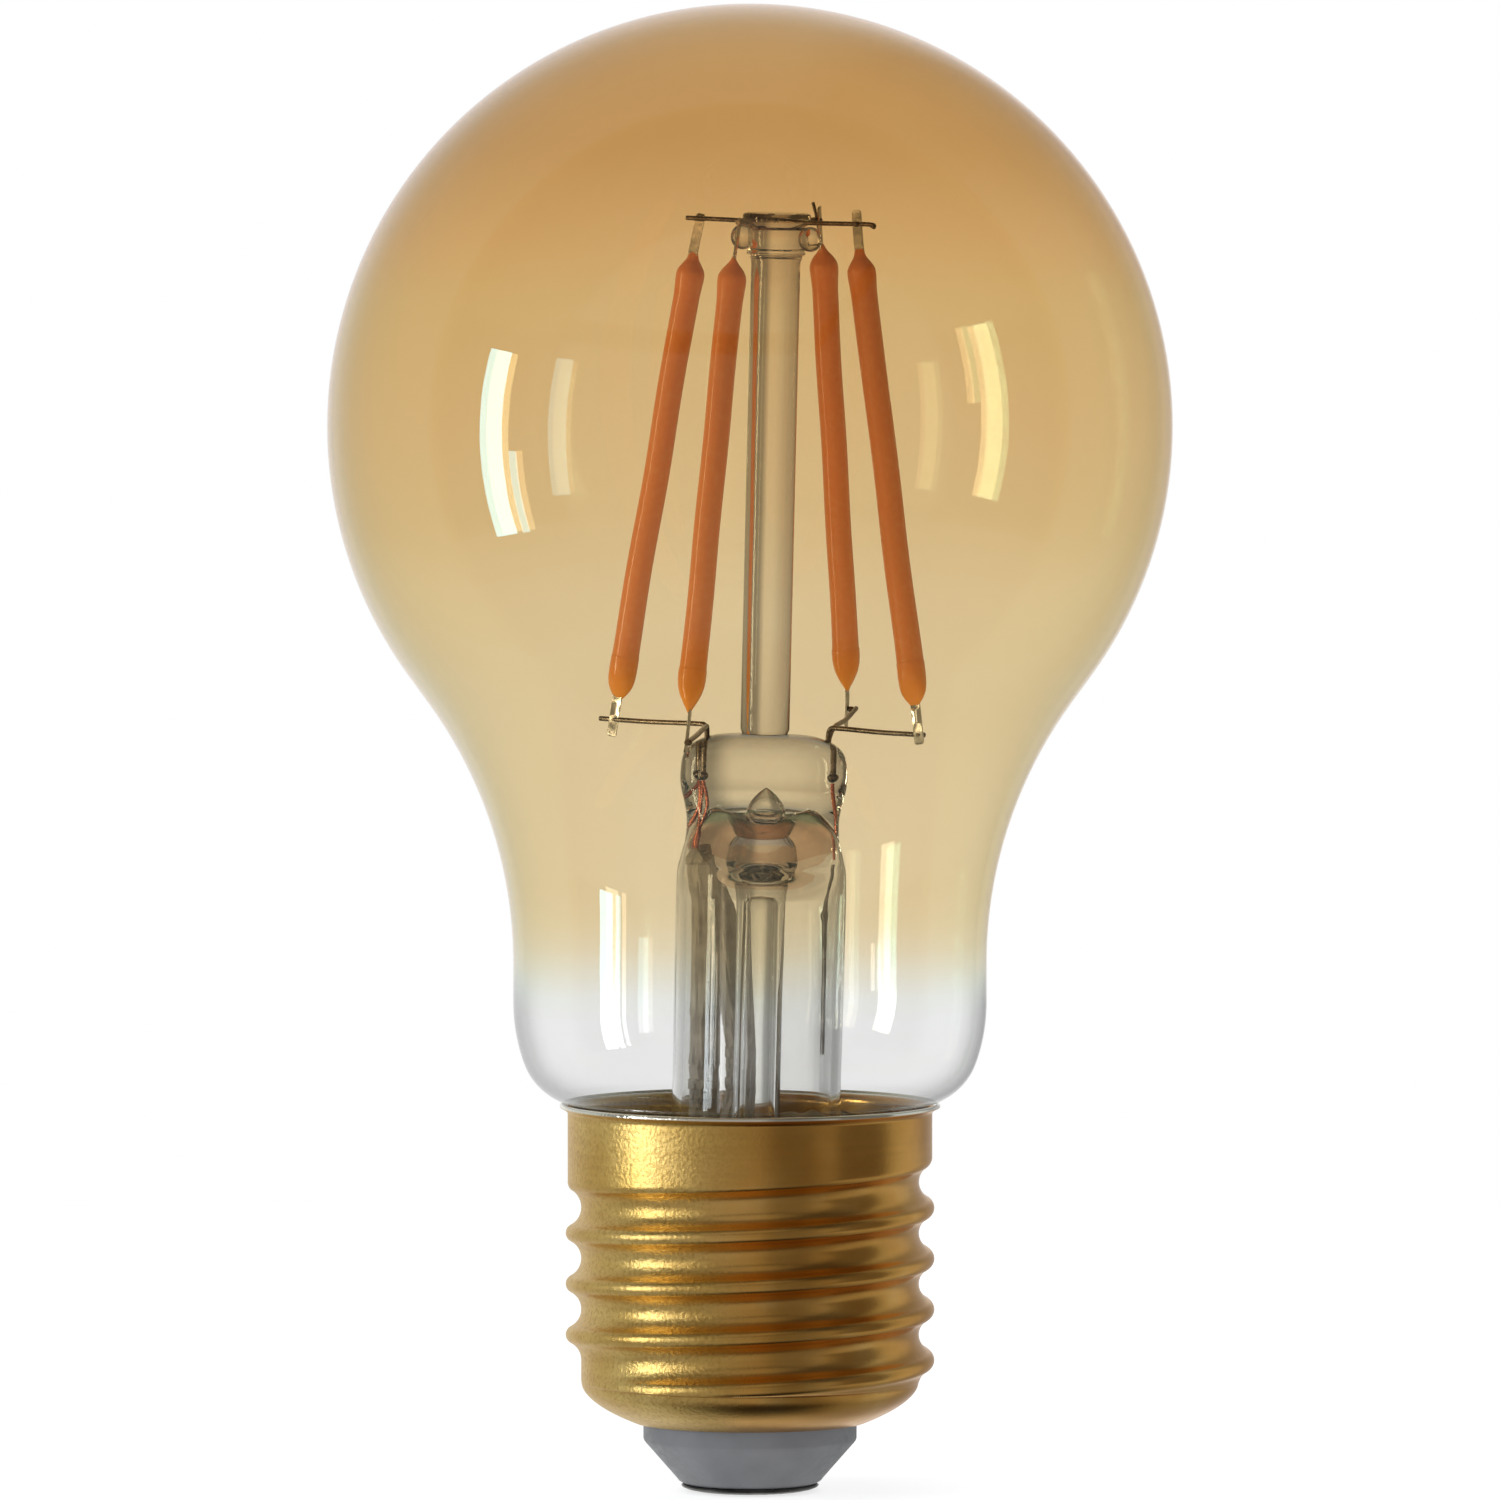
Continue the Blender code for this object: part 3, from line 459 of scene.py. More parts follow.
def worn(name, dark, light, roughness, metallic, grain, depth):
    """A surface that varies between two tones, with a fine grain and uneven gloss."""
    material, tree, shader = principled(name, Metallic=metallic)
    broad = noise(tree, grain * 6 * MM, 4.0)
    fine = noise(tree, grain * MM, 2.0)
    connect(tree, shader, {
        "Base Color": ramp(tree, broad, ((0.3, dark), (0.7, light))),
        "Roughness": ranged(tree, fine, 0.3, 0.7, roughness * 0.75, roughness * 1.25),
        "Normal": bump(tree, fine, depth * MM),
    })
    return material


def brass_material():
    """Brass: blasted and rougher on the left, smoother on the right; its colour holds painted light: paler
    on the lit left, darker and warmer on the shaded right, near-white at the rim as a painted highlight.
    """
    material, tree, shader = principled("brass", Metallic=1.0)
    broad = noise(tree, 5 * MM, 4.0)
    fine = noise(tree, 0.28 * MM, 2.0)
    rings = noise(tree, 1.2 * MM, 3.0, stretch=(0.15, 0.15, 3.0))
    parts = add_node(tree, "SeparateXYZ", {"Vector": position(tree)}).outputs
    across = calc(tree, "ADD", parts["X"], ranged(tree, broad, 0.0, 1.0, -4 * MM, 4 * MM))
    # Left of the middle: rougher blasted brass, with a paler tone there as painted light.
    satin_and_lit_side = ranged(tree, across, -5 * MM, 1 * MM, 1.0, 0.0, smooth=True)
    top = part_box("screw_shell")[1].z
    # The rim's top 0.3 mm: a near-white painted highlight in the colour, and lower roughness.
    rim_highlight = ranged(tree, parts["Z"], top - 0.3 * MM, top - 0.2 * MM)
    # Paler tones for the lit left side: painted light.
    pale = ramp(tree, broad, ((0.25, (0.74, 0.46, 0.12)), (0.8, (0.95, 0.69, 0.26))))
    # Darker, warmer tones for the shaded right side: painted shade.
    shaded_side_stops = ((0.25, (0.66, 0.31, 0.06)), (0.55, (0.80, 0.42, 0.10)), (0.8, (0.90, 0.55, 0.18)))
    tone = mixed(tree, satin_and_lit_side, ramp(tree, broad, shaded_side_stops), pale)
    speck = calc(tree, "MULTIPLY", ranged(tree, fine, 0.45, 0.7, 0.0, 0.6), satin_and_lit_side)
    tone = mixed(tree, speck, tone, (0.52, 0.31, 0.07))
    tone = mixed(tree, ranged(tree, rings, 0.35, 0.75, 0.0, 0.3), tone, (0.55, 0.30, 0.08))
    # Near-white along the rim: a painted highlight.
    tone = mixed(tree, rim_highlight, tone, (0.98, 0.95, 0.86))
    gloss = calc(tree, "MULTIPLY_ADD", satin_and_lit_side, 0.12, 0.25)
    polished = calc(tree, "MULTIPLY_ADD", rim_highlight, -0.6, 1.0)
    connect(tree, shader, {
        "Base Color": tone,
        "Roughness": calc(tree, "MULTIPLY", gloss, polished),
        "Normal": bump(tree, fine, 0.05 * MM, calc(tree, "MULTIPLY_ADD", satin_and_lit_side, 0.7, 0.08)),
    })
    return material


def coating(tree, facing):
    """What the coating lets through and what it mirrors, with its soft edge at the neck; on the clear neck
    what it lets through darkens towards the outline as painted shade.
    """
    wander = ranged(tree, noise(tree, 9 * MM, 2.0), 0.0, 1.0, *COAT_WANDER)
    level = calc(tree, "ADD", height_of(tree), wander)
    stops = [((z * MM - COAT_END) / (BULB_TOP - COAT_END), tint) for z, tint in COAT_TINTS]
    amber = ramp(tree, ranged(tree, level, COAT_END, BULB_TOP), stops)
    depth = ranged(tree, facing, 0.0, 1.0, 1.0, 1.3)
    tint = add_node(tree, "Gamma", {"Color": amber, "Gamma": depth}).outputs[0]
    clear = ranged(tree, level, COAT_END, COAT_FULL, 1.0, 0.0, smooth=True)
    # On the clear neck, up to 42% darker towards the outline: painted shade.
    edge = ranged(tree, facing, 0.5, 1.0, 0.0, 0.42, smooth=True)
    tint = mixed(tree, calc(tree, "MULTIPLY", clear, edge), tint, (0.0, 0.0, 0.0))
    sheen = mixed(tree, ranged(tree, facing, 0.5, 0.9), COAT_SHEEN, WHITE)
    return tint, mixed(tree, clear, sheen, WHITE)


def film_material(name, coated):
    """One face of the bulb's thin glass: light goes straight through it, and a little is mirrored."""
    material = bpy.data.materials.new(name)
    material.use_nodes = True
    tree = material.node_tree
    tree.nodes.clear()
    facing = add_node(tree, "LayerWeight", {"Blend": 0.5}).outputs["Facing"]
    ripple = bump(tree, noise(tree, 14 * MM, 1.0), 0.03 * MM)
    if coated:
        tint, sheen = coating(tree, facing)
        at_edge, everywhere = 0.85, 0.045
    else:
        haze = noise(tree, 20 * MM, 2.0)
        tint = ramp(tree, haze, ((0.3, (0.985, 0.985, 0.983)), (0.7, (0.997, 0.997, 0.996))))
        sheen = ramp(tree, haze, ((0.3, (0.95, 0.97, 0.97)), (0.7, WHITE)))
        at_edge, everywhere = 0.08, 0.04
    mirrored = calc(tree, "MULTIPLY_ADD", calc(tree, "POWER", facing, 5.0), at_edge, everywhere)
    through = add_node(tree, "BsdfTransparent", {"Color": tint}).outputs[0]
    gloss = {"Color": sheen, "Roughness": 0.0, "Normal": ripple}
    mirror = add_node(tree, "BsdfGlossy", gloss).outputs[0]
    both = add_node(tree, "MixShader", {0: mirrored, 1: through, 2: mirror}).outputs[0]
    add_node(tree, "OutputMaterial", {"Surface": both})
    return material


def drawn_glass(name, tints):
    """Clear drawn glass that bends what is behind it. tints are what a face lets through by height.

    Light that falls on the wires inside goes straight through it.
    """
    material, tree, shader = principled(name, Roughness=0.0, IOR=1.5, Transmission_Weight=1.0)
    low, high = tints[0][0], tints[-1][0]
    share = ranged(tree, height_of(tree), low, high)
    tint = ramp(tree, share, [((z - low) / (high - low), colour) for z, colour in tints])
    cloudy = ranged(tree, noise(tree, 6 * MM), 0.3, 0.7, 0.0, 0.05)
    lines = noise(tree, 3 * MM, 2.0, stretch=(2.0, 2.0, 0.15))
    connect(tree, shader, {
        "Base Color": mixed(tree, cloudy, tint, (0.6, 0.6, 0.55)),
        "Normal": bump(tree, lines, 0.05 * MM, 0.4),
    })
    path = add_node(tree, "LightPath").outputs
    lighting = calc(tree, "MAXIMUM", path["Is Shadow Ray"], path["Is Diffuse Ray"])
    straight = add_node(tree, "BsdfTransparent", {"Color": (0.94, 0.94, 0.93)}).outputs[0]
    either = add_node(tree, "MixShader", {0: lighting, 1: shader.outputs[0], 2: straight})
    connect(tree, tree.nodes["Material Output"], {"Surface": either.outputs[0]})
    return material


def phosphor_material():
    """Silicone loaded with orange phosphor: brighter towards the lower end, and faintly mottled."""
    material, tree, shader = principled(
        "phosphor", Roughness=0.13, Subsurface_Weight=0.25, Subsurface_Scale=0.4 * MM, IOR=1.42
    )
    low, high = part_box("filament_front_left_phosphor")
    share = ranged(tree, height_of(tree), low.z, high.z)
    stops = ((0.0, (0.9, 0.36, 0.05)), (0.12, (0.84, 0.29, 0.07)), (1.0, (0.80, 0.28, 0.09)))
    spots = ranged(tree, noise(tree, 0.5 * MM, 3.0), 0.45, 0.75, 0.0, 0.3)
    connect(tree, shader, {
        "Base Color": mixed(tree, spots, ramp(tree, share, stops), (0.9, 0.42, 0.15)),
        "Subsurface Radius": (1.0, 0.35, 0.12),
        "Normal": bump(tree, noise(tree, 1.1 * MM, 2.0), 0.03 * MM),
    })
    return material


# Glass bulb


def make_bulb_glass():
    """The pear-shaped bulb: a thin wall with its outer face coated."""
    low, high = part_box("glass_envelope")
    outline = Outline(0.02 * MM, high.z, radians(90))
    outline.bend(BULB_RADIUS, -DOME_END, 1.0 * MM)
    outline.move(CONE_LENGTH)
    outline.bend(WAIST_RADIUS, -outline.heading, 1.0 * MM)
    outline.move(NECK_LENGTH)
    for radius, turn in SHOULDER:
        outline.bend(radius, -turn, 0.5 * MM)
    inset = outline.points[-1][0] - TAIL_RADIUS
    outline.bend(inset / (1 - cos(outline.heading)), -outline.heading, 0.5 * MM)
    outline.points.append((TAIL_RADIUS, low.z))
    count = 144
    rings = [circle(radius, z, count) for radius, z in reversed(outline.points)]
    mesh = skin_mesh("bulb_glass", rings, ("open", "fan"))
    coat = film_material("amber_coating", coated=True)
    piece = new_piece(mesh, coat, "glass_envelope")
    piece.data.materials.append(film_material("inner_glass", coated=False))
    wall = piece.modifiers.new("Wall", "SOLIDIFY")
    wall.thickness = GLASS_WALL
    wall.offset = -1
    wall.material_offset = 1


# Glass stem, exhaust tube and post


def round_keys(level, *rows):
    """Keys for round rings: radius and height above a level."""
    return [(radius, radius, level + z, 2.0) for radius, z in rows]


def oblong_keys(level, *rows):
    """Keys for oblong rings: half width, half thickness and height above a level in mm, and power."""
    return [(width * MM, thickness * MM, level + z * MM, power) for width, thickness, z, power in rows]


def teardrop_mesh(bore_top):
    """The bubble in the press over the exhaust tube."""
    rings = []
    for turn in np.linspace(0.02, pi - 0.02, 18):
        radius = 1.65 * MM * sin(turn) * sin(turn / 2) ** 0.8
        ring = circle(radius, bore_top + (3.35 + 1.75 * cos(turn)) * MM, 36)
        rings.append(ring * np.array((1.0, 0.6, 1.0)) + np.array((0.2, -0.6, 0.0)) * MM)
    return skin_mesh("bubble", rings, CLOSED, STEM)


def small_bubbles(bore_top):
    """Small bubbles beside the seal wires: position over the bore and radius, in millimetres."""
    right = ((5.0, -0.4, 2.4, 0.16), (4.7, 0.6, 4.4, 0.12))
    left = ((-4.9, -0.6, 3.6, 0.2), (-5.1, 0.4, 5.3, 0.13))
    for x, y, z, size in (*right, *left):
        centre = (x * MM, y * MM, bore_top + z * MM)
        yield blob_mesh("small_bubble", centre, (size * MM,) * 3, 8, 12, inward=True)


def make_stem_glass(glass, roof_glass):
    """The flared tube with its pressed top, and the bore with its sagging roof."""
    low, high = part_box("glass_stem")
    foot, bore_top = low.z + 0.3 * MM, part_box("exhaust_tube")[1].z
    top = stem_top("glass_stem")
    rim = (high.x - low.x) / 2 - 0.1 * MM
    bore = STEM_RADIUS - STEM_WALL
    outside = round_keys(foot, (rim, 0.0), (rim - 0.1 * MM, 0.6 * MM), (8.4 * MM, 1.6 * MM))
    outside += round_keys(foot, (6.9 * MM, 3.4 * MM), (STEM_RADIUS, 6.8 * MM), (STEM_RADIUS, 15 * MM))
    outside += round_keys(bore_top, (STEM_RADIUS, -2.2 * MM))
    outside += oblong_keys(bore_top, (5.85, 5.5, -0.4, 2.0), (5.5, 4.6, 1.0, 2.1), (5.42, 3.4, 2.4, 2.2))
    outside += oblong_keys(bore_top, (5.6, 2.75, 3.6, 2.4), (5.85, 2.65, 4.6, 2.5), (5.95, 2.85, 5.6, 2.6))
    outside += oblong_keys(top, (5.75, 2.75, -1.6, 2.6), (5.0, 2.35, -0.75, 2.7), (3.4, 1.7, -0.18, 2.4))
    outside += oblong_keys(top, (0.6, 0.3, 0.0, 2.0))
    roof = oblong_keys(bore_top, (0.6, 0.6, 0.4, 2.0), (1.5, 1.4, 0.55, 2.0), (2.0, 1.7, 1.6, 2.0))
    roof += oblong_keys(bore_top, (2.7, 1.7, 3.0, 2.0), (3.5, 1.7, 3.1, 2.0), (4.3, 2.2, 2.0, 2.0))
    roof += oblong_keys(bore_top, (4.85, 3.1, 0.3, 2.0))
    inside = [*roof, (bore, bore - 0.4 * MM, bore_top - 2.2 * MM, 2.0)]
    inside += round_keys(bore_top, (bore, -5.0 * MM))
    inside += round_keys(foot, (bore, 7.2 * MM), (6.1 * MM, 3.4 * MM), (7.6 * MM, 1.5 * MM))
    inside += round_keys(foot, (rim - STEM_WALL, 0.0))
    count, steps = 96, 5
    angles = np.arange(count) * tau / count
    sag = 1.7 * MM * np.sin(angles) ** 2 * (1 + 0.3 * np.sin(3 * angles))
    rings = []
    for row in smooth_keys(inside, steps):
        ring = oblong(*row, count)
        near_top = clamped((row[2] - bore_top + 2.0 * MM) / (4.0 * MM))
        off_axis = clamped(row[0] / (1.5 * MM) - 1.3)
        ring[:, 2] -= sag * near_top * off_axis
        rings.append(ring)
    rings += [oblong(*row, count) for row in smooth_keys(outside, steps)]
    shell = skin_mesh("stem_body", rings, CLOSED, STEM)
    for face in shell.polygons[: steps * (len(roof) - 1) * count]:
        face.material_index = 1
    mesh = joined("stem_glass", [shell, teardrop_mesh(bore_top), *small_bubbles(bore_top)])
    stem = new_piece(mesh, glass, "glass_stem")
    stem.data.materials.append(roof_glass)


def make_exhaust_glass(glass):
    """The thin tube in the stem, drawn out to a tip, with its bore as a second wall."""
    low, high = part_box("exhaust_tube")
    tip, top = low.z, high.z + 0.5 * MM
    wall, bore = EXHAUST_RADIUS / MM, EXHAUST_BORE / MM
    outside = above(tip, (NEVER_ZERO, 0.0), (0.7, 0.15), (1.25, 0.7), (wall, 2.0))
    outside += above(top, (wall, -0.3), (wall - 0.3, 0.0), (NEVER_ZERO, 0.0))
    inside = above(top, (NEVER_ZERO, -2.4), (bore * 0.7, -2.7), (bore, -3.4))
    inside += above(tip, (bore, 3.2), (0.5, 2.0), (NEVER_ZERO, 1.4))
    walls = [lathe_mesh("exhaust_wall", outline, 48, CLOSED, STEM, 50) for outline in (outside, inside)]
    new_piece(joined("exhaust_glass", walls), glass, "exhaust_tube")


def make_post_glass(glass):
    """The post, its button of a drum under a slab, and the ears that hold the upper wire."""
    foot = stem_top("glass_stem") - 0.25 * MM
    top = stem_top("glass_post") - 0.05 * MM
    post, drum, slab = POST_RADIUS / MM, 2.03, 2.43
    outline = above(foot, (NEVER_ZERO, 0.0), (1.3, 0.05), (1.62, 0.2), (post, 0.5), (post, 8.0))
    outline += above(top, (post, -8.0), (post, -3.5), (post + 0.12, -3.2), (drum - 0.15, -3.05))
    outline += above(top, (drum + 0.05, -2.95), (drum + 0.07, -2.8), (drum - 0.04, -2.6))
    outline += above(top, (drum - 0.02, -1.6), (drum, -1.0), (slab - 0.2, -0.85), (slab, -0.65))
    outline += above(top, (slab, -0.25), (slab - 0.08, -0.08), (slab - 0.3, 0.0))
    outline += above(top, (NEVER_ZERO, -0.05))
    parts = [lathe_mesh("post_body", outline, 64, CLOSED, STEM, 60)]
    for place in ("back_left", "front_right"):
        centre = outward_of(place) * 2.75 * MM + Vector((0, 0, top - 1.8 * MM))
        parts.append(blob_mesh("ear", centre, (0.85 * MM, 0.6 * MM, 0.9 * MM), 14, 24))
    new_piece(joined("post_glass", parts), glass, "glass_post")


# Filaments


def filament_axis(place):
    return wire_ends(f"filament_{place}_phosphor")


def outward_of(place):
    """The level direction from the stem to a filament's foot."""
    foot, _ = filament_axis(place)
    return Vector((foot.x, foot.y, 0.0)).normalized()


def filament_matrix(place):
    """Z along the filament from its foot, X outwards, Y round the bulb."""
    foot, head = filament_axis(place)
    z = (head - foot).normalized()
    outward = Matrix.Rotation(TWIST.get(place, 0.0), 3, "Z") @ outward_of(place)
    y = z.cross(outward).normalized()
    x = y.cross(z)
    turn = Matrix((x, y, z)).transposed().to_4x4()
    return STEM @ Matrix.Translation(foot) @ turn, (head - foot).length


def make_phosphor(place, seed, material):
    """A filament's coat: a slightly wavy rod with flattened ends."""
    matrix, length = filament_matrix(place)
    # Half width outwards, half width round the bulb and height, all in millimetres
    foot_keys = (
        (0.34, 0.10, 0.05), (0.52, 0.18, 0.25), (0.74, 0.36, 0.55), (0.92, 0.58, 0.95),
        (1.0, 0.80, 1.45), (1.0, 0.96, 2.1), (0.98, 1.0, 3.0), (0.94, 0.94, 4.6),
    )
    head_keys = (
        (0.92, 0.92, -4.6), (0.94, 0.95, -2.9), (1.0, 1.02, -1.9), (0.95, 0.98, -1.4),
        (0.70, 0.76, -0.95), (0.46, 0.42, -0.55), (0.38, 0.18, -0.2), (0.30, 0.1, 0.0),
    )
    keys = oblong_keys(0.0, *((*key, 2.1) for key in foot_keys))
    keys.append((0.92 * MM, 0.92 * MM, length / 2, 2.0))
    keys += oblong_keys(length, *((*key, 2.1) for key in head_keys))
    rings = []
    for row in smooth_keys(keys, 8):
        ring = oblong(*row, 32)
        z = row[2]
        ring[:, 0] += 0.04 * MM * sin(z * 410 + seed * 2.1)
        ring[:, 1] += 0.03 * MM * sin(z * 530 + seed * 1.3)
        rings.append(ring)
    mesh = skin_mesh(f"phosphor_{place}", rings, CLOSED, matrix, sharp=70)
    new_piece(mesh, material, f"filament_{place}_phosphor")


def strap_mesh(name, outline, holes, thickness, bend, matrix):
    """A flat stamped strap in X and Z, with holes, bent a little out of its plane."""
    curve = bpy.data.curves.new(name, "CURVE")
    curve.dimensions = "2D"
    curve.fill_mode = "BOTH"
    curve.extrude = thickness / 2
    curve.bevel_depth = 0.02 * MM
    for points in [outline, *holes]:
        spline = curve.splines.new("POLY")
        spline.points.add(len(points) - 1)
        spline.use_cyclic_u = True
        for control, (x, z) in zip(spline.points, points):
            control.co = (x, z, 0.0, 1.0)
    helper = add_object(name, curve)
    bpy.context.view_layer.update()
    mesh = bpy.data.meshes.new_from_object(helper.evaluated_get(bpy.context.evaluated_depsgraph_get()))
    bpy.data.objects.remove(helper)
    for vertex in mesh.vertices:
        x, z, y = vertex.co
        vertex.co = (x, y + bend(z) + 0.5 * x**2 / MM, z)
    mesh.transform(matrix)
    mesh.flip_normals()
    mesh.shade_smooth()
    mesh.set_sharp_from_angle(angle=radians(30))
    return mesh


def rounded_strip(width, low, high, steps=7):
    """A strip outline with points along its sides, so that it can bend, and clipped corners."""
    half, clip = width / 2, width * 0.2
    right = [(half, z) for z in np.linspace(low + clip, high - clip, steps)]
    left = [(-half, z) for z in np.linspace(high - clip, low + clip, steps)]
    flat = half - clip
    return [(flat, low), *right, (flat, high), (-flat, high), *left, (-flat, low)]


def make_tabs(place, seed, material):
    """A filament's two tabs, each bent a little its own way, and the lower one slotted."""
    matrix, length = filament_matrix(place)
    outside, inside, width = 2.75 * MM, 1.4 * MM, 0.7 * MM
    for end in ("bottom", "top"):
        sign, base = (-1, 0.0) if end == "bottom" else (1, length)
        tip = base + sign * outside
        low, high = sorted((base - sign * inside, tip))
        holes = []
        if end == "bottom":
            side, start, end_z = 0.1 * MM, tip + 1.55 * MM, tip + 2.45 * MM
            holes.append([(side, start), (side, end_z), (-side, end_z), (-side, start)])

        def bend(z, base=base, sign=sign):
            turn = (0.09 + 0.05 * sin(seed * 3.7 + sign)) * sin(seed * 2.3 + sign)
            return turn * max(0.0, sign * (z - base) - 0.4 * MM)

        outline = rounded_strip(width, low, high)
        mesh = strap_mesh(f"tab_{end}_{place}", outline, holes, 0.1 * MM, bend, matrix)
        new_piece(mesh, material, f"filament_{place}_{end}_tab")


# Wires


def at_tab(place, z, beyond, beside):
    """A point at a height next to a filament's tab: beyond it outwards, and beside it."""
    foot, head = filament_axis(place)
    centre = foot + (head - foot) * ((z - foot.z) / (head.z - foot.z))
    outward = outward_of(place)
    around = Vector((-outward.y, outward.x, 0.0))
    return centre + outward * beyond + around * beside


def weld_at(point, size):
    return blob_mesh("weld", point, (size, size, size * 0.8), 8, 14)


def make_bridge_wires(material):
    """The two wires that cross in the button and join the filaments' tops in pairs."""
    top = stem_top("glass_post")
    upper, lower = top - 0.7 * MM, top - 1.1 * MM
    beside = 0.26 * MM
    rows = (
        ("bridge_wire_upper", "back_left", "front_right", upper, 0.9 * MM, 1.1 * MM),
        ("bridge_wire_lower", "front_left", "back_right", lower, 0.45 * MM, 0.35 * MM),
    )
    for name, first, last, z, before, after in rows:
        tab_z = upper + 0.05 * MM
        out_first, out_last = outward_of(first), outward_of(last)
        start = at_tab(first, tab_z, before, beside)
        end = at_tab(last, tab_z, after, beside)
        middle = Vector((0, 0, z))
        if z == upper:
            corners = [start, start.lerp(middle, 0.4)]
            corners += [middle + out_first * 2.2 * MM, middle + out_last * 2.2 * MM]
            corners += [end.lerp(middle, 0.35), end, end + shift(0, 0, -0.25) + out_last * 0.12 * MM]
        else:
            corners = [start, at_tab(first, tab_z, -0.8 * MM, beside), middle + out_first * 3.3 * MM]
            corners += [middle + out_first * 2.6 * MM, middle + out_last * 2.6 * MM]
            corners += [middle + out_last * 3.3 * MM, at_tab(last, tab_z, -0.8 * MM, beside), end]
        wire = tube_mesh(name, corners, 8, BRIDGE_RADIUS, 12)
        welds = [weld_at(at_tab(pair, tab_z, 0.0, beside * 0.5), 0.26 * MM) for pair in (first, last)]
        if z == lower:
            foot = at_tab(last, tab_z, 0.0, beside)
            pin = [foot + shift(0.1, 0, -0.7), foot, foot + shift(-0.35, 0, 1.25)]
            welds.append(tube_mesh("pin", pin, 6, BRIDGE_RADIUS * 0.7, 10))
        new_piece(joined(name + "_wire", [wire, *welds]), material, name)


def make_arms(material):
    """The arms from the press to the lower tabs, with their knots and welds."""
    arm_z = stem_top("glass_stem") + 0.35 * MM
    gap = 0.28 * MM
    rows = (
        ("back_left_lead_arm", "back_left", -gap, 1.3 * MM, 0.0),
        ("front_left_lead_arm", "front_left", gap, 0.4 * MM, -0.5 * MM),
        ("right_jumper_front_arm", "front_right", gap, 0.3 * MM, 0.1 * MM),
    )
    for name, place, beside, beyond, rise in rows:
        foot, _ = wire_ends(name)
        bend = Vector((foot.x, foot.y, arm_z))
        tip = at_tab(place, arm_z + rise, beyond, beside)
        ahead = (tip - bend).normalized()
        corners = [foot, foot.lerp(bend, 0.55), bend - shift(0, 0, 0.75), bend + ahead * 0.2 * MM]
        corners += [bend + ahead * 1.1 * MM + shift(0, 0, 0.1), bend.lerp(tip, 0.55), tip]
        wire = tube_mesh(name, corners, 8, ARM_RADIUS, 12)
        knot = weld_at(foot, 0.34 * MM)
        weld = weld_at(at_tab(place, arm_z + rise, 0.0, beside * 0.6), 0.3 * MM)
        new_piece(joined(name + "_wire", [wire, knot, weld]), material, name)
    name = "right_jumper_back_arm"
    post, _ = wire_ends("right_jumper_front_arm")
    start = Vector((post.x, post.y, arm_z)) + shift(0.05, 0.35, -1.5)
    tip = at_tab("back_right", arm_z + 0.9 * MM, 0.5 * MM, -gap)
    knee = start + shift(0.05, 0.1, 0.9)
    crest = knee.lerp(tip, 0.2) + shift(0, 0, 0.35)
    corners = [start, knee, crest, knee.lerp(tip, 0.6), tip]
    wire = tube_mesh(name, corners, 8, ARM_RADIUS, 12)
    weld = weld_at(at_tab("back_right", arm_z + 0.85 * MM, 0.0, -gap * 0.6), 0.28 * MM)
    new_piece(joined(name + "_wire", [wire, weld]), material, name)


def make_seals(material):
    """Copper-coated seal wires: loose strands between the knots and the tails."""
    bows = {
        "back_left_lead_seal": ((-0.75, 0.1), (0.1, -0.1)),
        "front_left_lead_seal": ((0.3, -0.1), (-0.12, 0.0)),
        "right_jumper_seal": ((0.1, 0.05),),
    }
    for node, strands in bows.items():
        foot, head = wire_ends(node)
        wires = []
        for x, y in strands:
            bow = shift(x, y, 0)
            corners = [foot, foot.lerp(head, 0.25) - bow * 0.25, foot.lerp(head, 0.65) + bow, head]
            wires.append(tube_mesh(node, corners, 10, STRAND_RADIUS, 10))
        new_piece(joined(node + "_wire", wires), material, node)


def wire_rings(node):
    """Centres of a CAD tube's rings, sorted upwards: points within a wire's width count as one."""
    points = np.array([(TO_STEM @ vertex.co)[:] for vertex in nodes[node].data.vertices])
    points = points[points[:, 2].argsort()]
    groups, start = [], 0
    for i in range(1, len(points) + 1):
        if i == len(points) or points[i, 2] - points[start, 2] > 0.9 * MM:
            groups.append(Vector((points[start:i].min(0) + points[start:i].max(0)) / 2))
            start = i
    return groups


def make_sleeves(material):
    """Braided sleeves: a tube whose surface rises and falls like two sets of crossing strands."""
    strands, twist = 8, tau / (5.2 * MM)
    for name in ("front_left_lead", "back_left_lead"):
        keys = wire_rings(name + "_sleeve")
        route = smooth_route(keys + [keys[-1] + shift(-0.05, 0, 1.1)], 1)
        corners = route[:: max(1, len(route) // 9)] + [route[-1]]
        fine = smooth_route(corners, 46)
        length = sum((b - a).length for a, b in zip(fine, fine[1:]))

        def braid(share, angle, length=length):
            along = share * length * twist
            over = cos(strands * angle + along)
            under = cos(strands * angle - along)
            return SLEEVE_RADIUS * (0.86 + 0.14 * abs(over) * (1 if under > 0 else 0.2))

        mesh = tube_mesh(name + "_braid", corners, 46, SLEEVE_RADIUS, 64, braid)
        new_piece(mesh, material, name + "_sleeve")


def make_spare_tail(material):
    """The right lead's short tail, with a bead of solder."""
    node = "right_jumper_tail"
    foot, head = wire_ends(node)
    bow = foot.lerp(head, 0.4) + shift(0.05, 0, 0)
    corners = [foot, bow, foot.lerp(head, 0.7), head]

    def beaded(share, angle):
        return (0.13 + 0.13 * exp(-(((share - 0.7) / 0.02) ** 2))) * MM

    mesh = tube_mesh("spare_tail", corners, 10, 0.13 * MM, 10, beaded)
    new_piece(mesh, material, node)


# Screw cap


